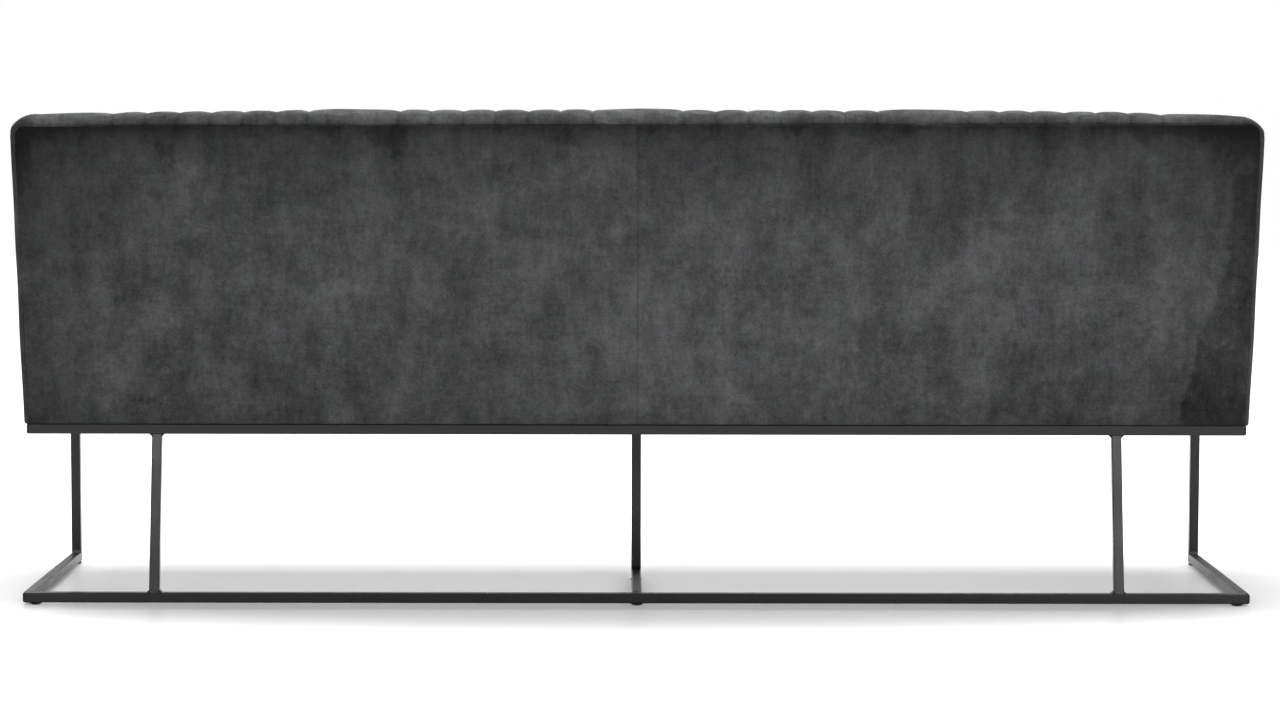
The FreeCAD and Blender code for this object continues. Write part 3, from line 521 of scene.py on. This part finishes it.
def makeInsideBack():
    # point = path + outward normal * lift
    # lift is a pillow between stitch lines, shallower towards the rear seam
    base = backPath(0, 0, 0)
    run, normal = alongPath(base)
    x, xi, wide, stitches = backColumns()
    out, into, flange = edgeColumns(back["sideReach"], back["flange"], back["sideSteps"], back["sideDraw"])
    half = bench["halfWidth"] - back["sideReach"]
    past = np.clip((half + np.maximum.accumulate(out) - bench["coreHalf"]) / back["rearRound"], 0, 1)
    behind = back["rearRound"] * (1 - np.sqrt(1 - past**2)) + flange
    amounts = zip(into, flange, behind)
    edges = [backPath(back["frontRound"] * i + f, back["topRound"] * i + f, r) for i, f, r in amounts]
    edgeNormals = [alongPath(edge)[1] for edge in edges]
    line = np.stack([*edges[::-1], *[base] * len(x), *edges], 1)
    normal = np.stack([*edgeNormals[::-1], *[normal] * len(x), *edgeNormals], 1)
    allX = np.concatenate([-half - out[::-1], x, half + out])
    pad = len(out)
    fade = np.concatenate([1 - into[::-1], np.ones(len(x)), 1 - into])
    xi = np.concatenate([np.full(pad, -1.0), xi, np.full(pad, 1.0)])
    wide = np.concatenate([np.ones(pad), wide, np.ones(pad)])
    top = bench["seamRise"] + bench["frontTop"]
    length = run[-1] - back["below"]  # up to the rear seam
    seamRun = (length + seamDrop(allX))[None, :]
    overTop = smooth((base[:, 1] - (top - 0.10)) / 0.08)
    toSeam = smooth((run - (length - 0.05)) / 0.05)
    depth = back["frontDepth"] + (back["topDepth"] - back["frontDepth"]) * overTop
    depth = depth + (back["seamDepth"] - depth) * toSeam
    narrow = (1 - np.abs(xi) ** 3) ** 0.65
    broad = (1 - np.abs(xi) ** 6) ** 0.8
    pillow = np.where(wide > 0, broad, narrow)
    outer = np.abs(allX) - stitches[-1]  # the end panels have no stitch line at the side edge
    pillow = np.where(outer > 0, 1 - np.exp(-np.clip(outer, 0, None) / 0.012), pillow)
    full = 1 - 0.8 * smooth((np.abs(allX) - 1.05) / 0.03)  # fuller at the ends, over the board's corners
    lift = -depth[:, None] * (1 - pillow)[None, :] - back["slim"] * (pillow * fade * full)[None, :]
    u, v = np.meshgrid(allX, run)
    lift += back["wobble"] * softNoise(u, v, 0.16, 4) * (pillow * fade)[None, :]
    inner = smooth((rear["half"] - np.abs(allX)) / 0.004)
    rolled = smooth((run[:, None] - seamRun + 0.004) / 0.008) * inner[None, :]
    lift -= back["tuck"] * rolled  # into the rear seam
    nearBoard = smooth((run[:, None] - length + 0.006) / 0.006)
    onBoard = nearBoard * smooth((seamRun - run[:, None] + 0.006) / 0.004)
    lift += onBoard * (np.maximum(lift, back["boardFloor"]) - lift)  # stays over the board down to the seam
    nearStitch = np.min(np.abs(allX[:, None] - stitches[None, :]), axis=1)
    lift += back["pucker"] * softNoise(u * 0.4, v, 0.03, 9) * np.exp(-nearStitch / 0.014)[None, :]
    sag = overTop[:, None] * np.interp(allX, *zip(*back["droop"]))[None, :] * (1 - toSeam)[:, None]
    y, z = backToWorld(line[..., 1] + normal[..., 1] * lift - sag, line[..., 0] + normal[..., 0] * lift)
    belowSeat = 1 - smooth((base[:, 1] - 0.117) / 0.022)[:, None]
    hidden = back["hideDepth"] * belowSeat * smooth((np.abs(allX) - 1.06) / 0.03)[None, :]
    points = np.stack([allX - np.sign(allX) * hidden, y, z], -1)  # low ends stay inside the side cover
    seamEnd = 0.85 - 0.6 * smooth((np.abs(allX) - 0.93) / 0.10)  # the painted shade line in the rear seam fades towards the ends
    # painted shade in the rear seam and in the stitch grooves
    paintedShadingAndTone = seamEnd[None, :] * np.exp(-np.abs(seamRun - run[:, None]) / 0.003)
    paintedShadingAndTone = paintedShadingAndTone + 0.40 * np.exp(-nearStitch / 0.003)[None, :]
    crown = run[sum(back["counts"][:3])]
    roll = np.clip((run - crown) / (length - crown), 0, 1)  # 0 on the crown, 1 at the rear seam
    ends = smooth((np.abs(allX) - 1.04) / 0.05)[None, :]
    # painted light over the roll's crown and painted shade low on it towards the seam, less near the ends,
    # which get painted shade low on the roll
    paintedShadingAndTone += (0.85 * (roll - 0.93) * smooth((run - crown + 0.012) / 0.02))[:, None] * (1 - 0.6 * ends)
    paintedShadingAndTone += 0.30 * ends * smooth((roll - 0.5) / 0.4)[:, None]
    paintedShadingAndTone = np.clip(paintedShadingAndTone, -0.7, 0.85)[:, ::-1]
    marks = [("paintedShadingAndTone", paintedShadingAndTone), ("hand", velvetLook["touched"] + 0 * u)]
    piece = gridPiece("insideBack", points[:, ::-1], np.stack([u, v], -1)[:, ::-1], velvet, marks)
    sewn = (nearStitch < 1e-4)[None, :] | (run < 0.01)[:, None] | (run > length - 0.001)[:, None]
    sewn[:, :4] = sewn[:, -4:] = True
    settleCloth(piece, sewn[:, ::-1], backBlow)
    backCloth(piece, back["cloth"])
    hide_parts("inside_back_cover")
    return piece


insideBack = makeInsideBack()
print("inside back:", len(insideBack.data.polygons), "faces")

# seat: over the top from the crease, down the front and under

seat = dict(
    step=0.008, columns=150, crown=0.009, slim=0.004, seamDepth=0.004, wobble=0.0010, gather=0.0010,
    sideReach=0.024, sideRound=0.024, sideSteps=8, sideDraw=0.004, flange=0.004, cloth=0.004,
    tuckDown=0.060, creaseBend=0.010, behind=0.034, hideDepth=0.014,
)
seatBlow = dict(quality=6, stiff=18.0, bend=1.0, pressure=3.0, slack=0.008, cap=0.006, sink=0.0008)
fold = dict(low=bench["bottom"] - 0.0004, under=0.036, bend=0.004)  # where the covers turn under the frame


def creaseAt(height, depth):
    # where a plane in the back, so deep from its rear face, is at a height
    lean = bench["lean"]
    return bench["footY"] - depth / math.cos(lean) + (height - bench["bottom"]) * math.tan(lean)


def seatPath(into, counts=None):
    # the run of the cover from behind the crease to under the front, drawn in at the top and front
    top, front = bench["seatTop"] - into, bench["frontY"] + into
    crease = creaseAt(bench["seatTop"], bench["thick"]) + seat["behind"]
    corners = [
        (crease, bench["seatTop"] - seat["tuckDown"]), (crease, top), (front, top), (front, fold["low"]),
        (bench["frontY"] + fold["under"], fold["low"]),
    ]
    radii = [seat["creaseBend"], max(bench["seatBend"] - 0.9 * into, 0.007), fold["bend"]]
    ownCounts = pathCounts(corners, radii, seat["step"])
    return bendPath(corners, radii, counts or ownCounts), ownCounts


def makeSeat():
    # point = path + outward normal * lift; lift is a low crown with a seam across the middle
    base, counts = seatPath(0)
    run, normal = alongPath(base)
    half = bench["halfWidth"] - seat["sideReach"]
    t = np.linspace(-1, 1, seat["columns"])
    x = half * (0.35 * np.sign(t) * np.abs(t) ** 2 + 0.65 * t)  # closer near the middle seam
    out, into, flange = edgeColumns(seat["sideReach"], seat["flange"], seat["sideSteps"], seat["sideDraw"])
    edges = [seatPath(seat["sideRound"] * i + f, counts)[0] for i, f in zip(into, flange)]
    edgeNormals = [alongPath(line)[1] for line in edges]
    line = np.stack([*edges[::-1], *[base] * len(x), *edges], 1)
    normal = np.stack([*edgeNormals[::-1], *[normal] * len(x), *edgeNormals], 1)
    allX = np.concatenate([-half - out[::-1], x, half + out])
    fade = np.concatenate([1 - into[::-1], np.ones(len(x)), 1 - into])
    onTop = smooth((run - 0.10) / 0.12) * smooth((0.60 - run) / 0.12)
    side = np.clip(np.abs(allX) / half, 0, 1)
    swell = (1 - side**6)[None, :] * (0.4 + 0.6 * onTop[:, None]) - 1
    lift = (seat["crown"] * swell - seat["slim"] * onTop[:, None]) * fade[None, :]
    below = run[-1] - fold["under"] - run
    lift *= smooth(below / 0.05)[:, None]
    seam = np.exp(-np.abs(allX) / 0.006)
    lift -= seat["seamDepth"] * seam[None, :] * smooth(below / 0.02)[:, None]
    u, v = np.meshgrid(allX, run)
    lift += seat["wobble"] * softNoise(u, v, 0.28, 21) * onTop[:, None] * fade[None, :]
    gathers = softNoise(u * 0.5, v, 0.05, 23) * np.exp(-np.abs(allX) / 0.03)[None, :]
    lift += seat["gather"] * gathers * onTop[:, None]
    y = line[..., 0] + normal[..., 0] * lift
    z = line[..., 1] + normal[..., 1] * lift
    behind = 1 - smooth((run - 0.071) / 0.016)[:, None]
    hidden = seat["hideDepth"] * behind * smooth((np.abs(allX) - 1.06) / 0.03)[None, :]
    points = np.stack([allX - np.sign(allX) * hidden, y, z], -1)  # hidden ends stay inside the side cover
    # painted shade in the crease behind the seat and along the middle seam
    creaseDark = np.exp(-np.clip(run - 0.085, 0, None) / 0.015)[:, None]
    paintedShadingAndTone = np.clip(0.3 * seam[None, :] + 0.5 * creaseDark, 0, 0.85)
    marks = [("paintedShadingAndTone", paintedShadingAndTone), ("hand", velvetLook["touched"] + 0 * u)]
    piece = gridPiece("seatCushion", points, np.stack([u, v], -1), velvet, marks)
    sewn = (np.abs(allX) < 0.004)[None, :] | (run < 0.08)[:, None] | (run > run[-1] - 0.05)[:, None]
    sewn[:, :4] = sewn[:, -4:] = True
    settleCloth(piece, sewn, seatBlow)
    backCloth(piece, seat["cloth"])
    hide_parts("seat_cover")
    return piece


seatCushion = makeSeat()
print("seat:", len(seatCushion.data.polygons), "faces")

# rear cover, two halves sewn at the middle
# strokes on each half: place from the middle, place below the seam, half sizes, strength

handMarks = {
    1: [
        (0.837, 0.04, 0.018, 0.018, 0.6), (0.67, 0.035, 0.012, 0.016, 0.5), (0.44, 0.012, 0.03, 0.024, 1.1),
        (0.425, 0.06, 0.018, 0.06, 0.45), (0.268, 0.08, 0.01, 0.012, 0.6), (0.225, 0.08, 0.009, 0.014, 0.6),
        (0.13, 0.026, 0.02, 0.018, 0.6), (0.905, 0.5, 0.042, 0.016, 0.75), (0.64, 0.17, 0.09, 0.025, 0.4),
    ],
    -1: [
        (0.578, 0.07, 0.01, 0.024, 0.6), (0.655, 0.078, 0.01, 0.02, 0.6), (0.65, 0.14, 0.05, 0.03, 0.4),
        (0.25, 0.125, 0.05, 0.02, 0.35), (0.914, 0.485, 0.03, 0.008, 0.8), (0.95, 0.006, 0.1, 0.022, 0.5),
    ],
}


def makeRear(name, sign, node):
    # point = path + outward normal * lift; the path runs from the top seam down and under the frame
    low = fold["low"]
    foot = bench["footY"] + (low - bench["bottom"]) * math.tan(bench["lean"]) + rear["proud"]
    seamTop = bench["seamRise"] - rear["seamGap"]
    top = [backToWorld(seamTop, depth) for depth in (rear["turnIn"], -rear["proud"])]
    corners = [*top, (foot, low), (foot - fold["under"], low)]
    radii = [rear["topBend"], fold["bend"]]
    line = bendPath(corners, radii, pathCounts(corners, radii, rear["step"]))
    run, normal = alongPath(line)
    normal = -normal
    out, into, flange = edgeColumns(rear["edge"], rear["flange"], 4)
    flat = rear["half"] - rear["edge"]
    x = np.concatenate([flat * (0.5 - 0.5 * np.cos(math.pi * np.linspace(0, 1, rear["columns"]))), flat + out])
    inset = np.concatenate([np.zeros(rear["columns"]), into * rear["edge"] + flange])
    u, v = np.meshgrid(x, run)
    fromTop = run - rear["topStart"]
    below = run[-1] - fold["under"] - run
    fromSide = np.clip(rear["half"] - x, 0, None)
    lift = rear["crown"] * smooth(fromTop / 0.06)[:, None] * smooth(fromSide / 0.05)[None, :]
    lift = lift * smooth(below / 0.05)[:, None]
    ease = smooth(fromTop / 0.02)[:, None] * smooth(fromSide / 0.02)[None, :] * smooth(below / 0.02)[:, None]
    lift -= rear["middleTuck"] * np.exp(-x / 0.003)[None, :] * smooth(below / 0.02)[:, None]
    waves = softNoise(u, v, 0.35, 31 + sign) + 0.5 * softNoise(u, v, 0.12, 34 + sign)
    lift += rear["wobble"] * waves * ease
    gathers = softNoise(u, v * 0.3, 0.05, 35 + sign) * np.exp(-np.abs(fromTop) / 0.05)[:, None]
    lift += rear["gather"] * gathers * ease
    y = line[:, :1] + normal[:, :1] * (lift - inset)
    z = line[:, 1:2] + normal[:, 1:2] * (lift - inset)
    shift = seamDrop(sign * x)[None, :] * (1 - smooth(fromTop / rear["seamEase"]))[:, None]
    y, z = y - shift * math.sin(bench["lean"]), z - shift * math.cos(bench["lean"])
    points = np.stack([np.broadcast_to(sign * x, y.shape), y, z], -1)
    # painted shade: darker just below the top seam, under the roll, and just above the bottom fold
    paintedShadingAndTone = sum(amount * np.exp(-np.abs(fromTop) / reach) for amount, reach in rear["topDark"])[:, None]
    paintedShadingAndTone = paintedShadingAndTone + rear["lowDark"][0] * np.exp(-np.abs(below) / rear["lowDark"][1])[:, None]
    lighter = smooth((fromTop - 0.10) / 0.26)[:, None]
    paintedShadingAndTone = paintedShadingAndTone - rear["pale"] * lighter  # painted light: lighter further down the panel
    tone = sum(amount * np.exp(-(((x - place) / reach) ** 2)) for place, reach, amount in rear["tones"][sign])
    paintedShadingAndTone = paintedShadingAndTone + tone[None, :] * smooth((fromTop - 0.06) / 0.14)[:, None]
    # darker towards each side edge, and painted shade along the tucked middle seam
    paintedShadingAndTone = paintedShadingAndTone + rear["sideDark"][sign] * np.exp(-fromSide / rear["sideReach"])[None, :]
    paintedShadingAndTone = paintedShadingAndTone + rear["middleDark"] * np.exp(-x / 0.0025)[None, :]
    upper = 0.35 + 0.65 * smooth((0.24 - fromTop) / 0.08)[:, None]
    atSides = np.exp(-fromSide / 0.08)[None, :] * upper
    hand = rear["hand"] * (np.exp(-np.clip(fromTop, 0, None) / 0.028)[:, None] + atSides)
    for placeX, placeD, halfX, halfD, amount in handMarks[sign]:
        apart = ((u - placeX) / halfX) ** 2 + ((v - rear["topStart"] - placeD) / halfD) ** 2
        hand = hand + amount * np.exp(-apart)
    if sign < 0:  # one side was stroked in a wedge that widens downwards
        edge = np.interp(fromTop, *zip(*rear["wedge"]))[:, None]
        hand = hand + 0.85 * smooth((u - edge + 0.014) / 0.03) * smooth((fromTop - 0.05) / 0.05)[:, None]
    uv = np.stack([sign * u, v], -1)
    if sign > 0:
        points, uv, paintedShadingAndTone, hand = points[:, ::-1], uv[:, ::-1], paintedShadingAndTone[:, ::-1], hand[:, ::-1]
    marks = [("paintedShadingAndTone", np.clip(paintedShadingAndTone, -0.5, 0.85)), ("hand", np.clip(hand, 0, 1.3))]
    piece = gridPiece(name, points, uv, velvet, marks)
    backCloth(piece, rear["cloth"])
    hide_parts(node)


makeRear("rearCoverRight", 1, "right_outside_back")
makeRear("rearCoverLeft", -1, "left_outside_back")
print("rear cover ready")

# side covers: an L between the rear and bottom edges and the sewn edges of back and seat

sides = dict(
    rows=70, across=22, rearRoll=0.0095, lowRoll=0.004, crown=0.0015, seamTuck=0.0025, cloth=0.003, gap=0.0005,
    wobble=0.0006, step=0.004, upperBend=0.012, lowerBend=0.010,
)


def resample(line, count):
    # the same line at evenly spaced points
    run = np.concatenate([[0], np.cumsum(np.linalg.norm(np.diff(line, axis=0), axis=1))])
    t = np.linspace(0, run[-1], count)
    return np.column_stack([np.interp(t, run, line[:, k]) for k in (0, 1)])


def makeSide(name, sign, node):
    # ruled surface between an outer line (rear, bottom) and an inner line (top, front)
    # with a rolled outer edge
    over, front = (back[key] + back["flange"] + sides["gap"] for key in ("topRound", "frontRound"))
    drop = seat["sideRound"] + seat["flange"] + sides["gap"]
    roll = sides["rearRoll"]
    top, topFront = (bench["seamRise"] + bench[key] - over for key in ("rearTop", "frontTop"))
    low = fold["low"] + sides["lowRoll"]
    level = bench["seatTop"] - drop
    creaseY = creaseAt(level, bench["thick"] - front)
    upper = [backToWorld(top, roll), backToWorld(topFront, bench["thick"] - front), (creaseY, level)]
    frontY = bench["frontY"] + drop
    lower = [(creaseY, level), (frontY, level), (frontY, low)]
    bends = ((upper, sides["upperBend"]), (lower, sides["lowerBend"]))
    inner = [bendPath(c, [r], pathCounts(c, [r], sides["step"])) for c, r in bends]
    footY = creaseAt(low, roll)
    outer = [np.array([backToWorld(top, roll), (footY, low)]), np.array([(footY, low), (frontY, low)])]
    inner = np.vstack([resample(inner[0], sides["rows"]), resample(inner[1], sides["rows"])[1:]])
    outer = np.vstack([resample(outer[0], sides["rows"]), resample(outer[1], sides["rows"])[1:]])
    tangent = np.gradient(outer, axis=0)
    tangent /= np.linalg.norm(tangent, axis=1)[:, None]
    away = np.column_stack([-tangent[:, 1], tangent[:, 0]])  # in the plane, away from the cover
    s = np.linspace(0, 1, sides["across"])
    ruled = inner[:, None, :] * (1 - s)[None, :, None] + outer[:, None, :] * s[None, :, None]
    span = np.linalg.norm(outer - inner, axis=1)[:, None]
    proud = sides["crown"] * np.sin(math.pi * s)[None, :]
    proud = proud - sides["seamTuck"] * np.exp(-span * s[None, :] / 0.004)
    face = np.concatenate([bench["halfWidth"] + proud[:, :, None], ruled], -1)
    row = np.arange(len(outer))[:, None]
    under = smooth((row - sides["rows"] + 4) / 6)  # 0 along the rear, 1 along the bottom
    radius = roll + (sides["lowRoll"] - roll) * under
    t = np.linspace(0, 1, 8)[None, 1:] * math.pi / 2
    ends = bench["halfWidth"] - radius
    rollX = bench["halfWidth"] - radius * (1 - np.cos(t))
    rollX = np.hstack([rollX, ends - 0.006 * under, ends - 0.015 * under])
    rollOut = np.hstack([radius * np.sin(t), radius - 0.003 * (1 - under), radius - 0.007 * (1 - under)])
    rollOut = rollOut - 0.0035 * np.exp(-row / 0.9)  # the top end goes under the back
    rolled = outer[:, None, :] + away[:, None, :] * rollOut[..., None]
    points = np.concatenate([face, np.concatenate([rollX[..., None], rolled], -1)], 1)
    points[..., 0] += sides["wobble"] * softNoise(points[..., 1], points[..., 2], 0.2, 41)
    points[..., 0] -= 0.0025 * np.exp(-row / 0.8) + 0.006 * np.exp(-row[::-1])  # ends go under the neighbours
    points[..., 0] *= sign
    # painted shade over the rolled outer edge as it turns away, and along the sewn inner edge
    rollDark = np.broadcast_to(1.4 * np.linspace(0, 1, rollX.shape[1]) ** 1.5, rollX.shape)
    paintedShadingAndTone = np.concatenate([np.exp(-span * s[None, :] / 0.006), rollDark], 1)
    paintedShadingAndTone, uv = np.clip(0.4 * paintedShadingAndTone, 0, 0.85), points[..., 1:]
    if sign < 0:
        points, uv, paintedShadingAndTone = points[:, ::-1], uv[:, ::-1], paintedShadingAndTone[:, ::-1]
    marks = [("paintedShadingAndTone", paintedShadingAndTone), ("hand", velvetLook["touched"] + 0 * paintedShadingAndTone)]
    piece = gridPiece(name, points, uv, velvet, marks)
    backCloth(piece, sides["cloth"])
    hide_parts(node)


makeSide("sideCoverRight", 1, "right_side_cover")
makeSide("sideCoverLeft", -1, "left_side_cover")
print("side covers ready")

# foam inside, a little smaller than the covers
# back: corners as rise and depth in the back, seat: corners as y and z

foam = dict(
    half=1.078, ends=(0.30, 0.72, 0.90, 1.0), endReach=0.016, step=0.02, columns=40,
    back=((0.14, 0.084), (0.14, 0.040), (0.538, 0.040), (0.538, 0.084)), backBends=(0.010, 0.010, 0.020),
    seat=((0.10, 0.475), (-0.296, 0.475), (-0.296, 0.402), (0.10, 0.402)), seatBends=(0.028, 0.006, 0.006),
)


def makeFoam(name, corners, radii, node):
    # closed outline carried along x, drawn in at both ends
    corners = [*corners, corners[0]]
    loop = bendPath(corners, radii, pathCounts(corners, radii, foam["step"]))[:-1]
    middle = loop.mean(0)
    x = foam["half"] + foam["endReach"] * (1 - np.array(foam["ends"]))
    x = np.concatenate([-x, np.linspace(-foam["half"], foam["half"], foam["columns"])[1:-1], x[::-1]])
    size = np.concatenate([foam["ends"], np.ones(foam["columns"] - 2), foam["ends"][::-1]])
    ring = middle + (loop - middle)[:, None, :] * size[None, :, None]
    points = np.concatenate([np.broadcast_to(x[None, :, None], ring.shape[:2] + (1,)), ring], -1)
    rows, cols = points.shape[:2]
    index = np.arange(rows * cols).reshape(rows, cols)
    after = np.roll(index, -1, axis=0)
    quads = np.stack([index[:, :-1], index[:, 1:], after[:, 1:], after[:, :-1]], -1).reshape(-1, 4)
    mesh = bpy.data.meshes.new(name)
    ends = [index[::-1, -1].tolist(), index[:, 0].tolist()]
    mesh.from_pydata(points.reshape(-1, 3).tolist(), [], [*quads.tolist(), *ends])
    piece = addPiece(name, mesh, slotLooks["foam"])
    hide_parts(node)


makeFoam("backFoam", [backToWorld(*corner) for corner in foam["back"]], foam["backBends"], "back_foam")
makeFoam("seatFoam", foam["seat"], foam["seatBends"], "seat_foam")
print("foam ready")

# dust cover under the seat, stapled to the boards

dust = dict(
    half=1.082, front=-0.296, rear=0.196, level=0.3203, sag=0.0045, wobble=0.0006,
    columns=120, rows=36, cloth=0.0005,
)


def makeDustCover():
    # flat sheet that hangs a little between the steel rails
    # z = level - sag * |sin(2 pi a)|^0.6 * sin(pi b)^0.7, with a little unevenness
    a, b = np.meshgrid(np.linspace(0, 1, dust["columns"]), np.linspace(0, 1, dust["rows"]))
    x = dust["half"] * (2 * a - 1)
    y = dust["front"] + (dust["rear"] - dust["front"]) * b
    hang = np.abs(np.sin(2 * math.pi * a)) ** 0.6 * np.sin(math.pi * b) ** 0.7
    z = dust["level"] - dust["sag"] * hang + dust["wobble"] * softNoise(x, y, 0.11, 51) * hang
    points = np.stack([x, y, z], -1)[::-1]
    piece = gridPiece("dustCover", points, np.stack([x, y], -1)[::-1], slotLooks["dust_cloth"])
    backCloth(piece, dust["cloth"])
    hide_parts("dust_cover")


makeDustCover()
print("dust cover ready")

# floor, light and camera

studio = dict(floorSize=14.0, worldLight=0.42, floorGlow=0.12, reach=(1.25, 0.46), fadeFrom=0.85, fadeTo=1.75)
# name, place, target, size and power of each lamp
softboxes = (
    ("keyBox", (-2.9, 5.7, 2.55), (-0.2, 0, 0.5), (3.6, 1.5), 164.0),
    ("fillBox", (2.1, 5.8, 2.4), (0.3, 0, 0.5), (2.0, 1.0), 56.0),
    ("topBox", (0.0, -0.68, 3.6), (0, 0.05, 0.3), (4.5, 2.4), 172.0),
    ("frontBox", (0.8, -4.5, 2.6), (0, 0, 0.3), (5.0, 1.5), 90.0),
)


def makeFloor():
    # pale floor with a soft gloss, and light of its own for the camera and reflections, less near the bench
    size = studio["floorSize"]
    mesh = bpy.data.meshes.new("floor")
    corners = [(-size, -size, 0), (size, -size, 0), (size, size, 0), (-size, size, 0)]
    mesh.from_pydata(corners, [], [(0, 1, 2, 3)])
    floor = bpy.data.objects.new("floor", mesh)
    bpy.context.scene.collection.objects.link(floor)
    material, tree, bsdf = newMaterial("floorPaint")
    bsdf.inputs["Base Color"].default_value = (0.8, 0.8, 0.8, 1)
    bsdf.inputs["Roughness"].default_value = 0.32
    bsdf.inputs["Specular IOR Level"].default_value = 0.3
    path = addNode(tree, "ShaderNodeLightPath")
    glow = addNode(tree, "ShaderNodeEmission", {"Color": (1, 1, 1, 1)})
    seen = mathNode(tree, "MAXIMUM", path.outputs["Is Camera Ray"], path.outputs["Is Glossy Ray"])
    coords = addNode(tree, "ShaderNodeTexCoord")
    away = addNode(tree, "ShaderNodeVectorMath", operation="LENGTH")
    reachX, reachY = studio["reach"]
    shrink = addNode(tree, "ShaderNodeMapping", {"Scale": (1 / reachX, 1 / reachY, 0)})
    tree.links.new(coords.outputs["Object"], shrink.inputs["Vector"])
    tree.links.new(shrink.outputs[0], away.inputs[0])
    span = {"From Min": studio["fadeFrom"], "From Max": studio["fadeTo"], "To Min": studio["floorGlow"]}
    fade = addNode(tree, "ShaderNodeMapRange", {**span, "To Max": 1.0}, interpolation_type="SMOOTHSTEP")
    tree.links.new(away.outputs["Value"], fade.inputs["Value"])
    tree.links.new(mathNode(tree, "MULTIPLY", seen, fade.outputs[0]), glow.inputs["Strength"])
    both = addNode(tree, "ShaderNodeAddShader")
    tree.links.new(bsdf.outputs[0], both.inputs[0])
    tree.links.new(glow.outputs[0], both.inputs[1])
    tree.links.new(both.outputs[0], tree.nodes["Material Output"].inputs["Surface"])
    mesh.materials.append(material)


def makeWorld():
    world = bpy.data.worlds.new("studio")
    bpy.context.scene.world = world
    world.use_nodes = True
    tree = world.node_tree
    path = addNode(tree, "ShaderNodeLightPath")
    seen = mathNode(tree, "MAXIMUM", path.outputs["Is Camera Ray"], path.outputs["Is Transmission Ray"])
    level = addNode(tree, "ShaderNodeMapRange", {"To Min": studio["worldLight"], "To Max": 1.0})
    tree.links.new(seen, level.inputs["Value"])
    tree.links.new(level.outputs[0], tree.nodes["Background"].inputs["Strength"])
    tree.nodes["Background"].inputs["Color"].default_value = (1, 1, 1, 1)


def addSoftbox(name, place, target, size, power):
    lamp = bpy.data.lights.new(name, "AREA")
    lamp.shape = "RECTANGLE"
    lamp.size, lamp.size_y = size
    lamp.energy = power
    box = bpy.data.objects.new(name, lamp)
    bpy.context.scene.collection.objects.link(box)
    box.location = place
    aim = Vector(target) - box.location
    box.rotation_euler = aim.to_track_quat("-Z", "Y").to_euler()


view = dict(place=(0.03209, 6.31848, 0.89427), lens=95.85, pitch=4.2726, turn=-0.3461, roll=0.13)


def makeCamera():
    camera = bpy.data.objects.new("camera", bpy.data.cameras.new("camera"))
    bpy.context.scene.collection.objects.link(camera)
    camera.data.lens = view["lens"]
    camera.data.sensor_width = 36.0
    camera.data.clip_end = 100.0
    aside = Matrix.Rotation(math.radians(180 + view["turn"]), 4, "Z")
    down = Matrix.Rotation(math.radians(90 - view["pitch"]), 4, "X")
    roll = Matrix.Rotation(math.radians(view["roll"]), 4, "Z")
    camera.rotation_euler = (aside @ down @ roll).to_euler()
    camera.location = view["place"]
    bpy.context.scene.camera = camera


makeFloor()
makeWorld()
for softbox in softboxes:
    addSoftbox(*softbox)
makeCamera()
bpy.context.scene.view_settings.view_transform = "Standard"
print("studio ready")
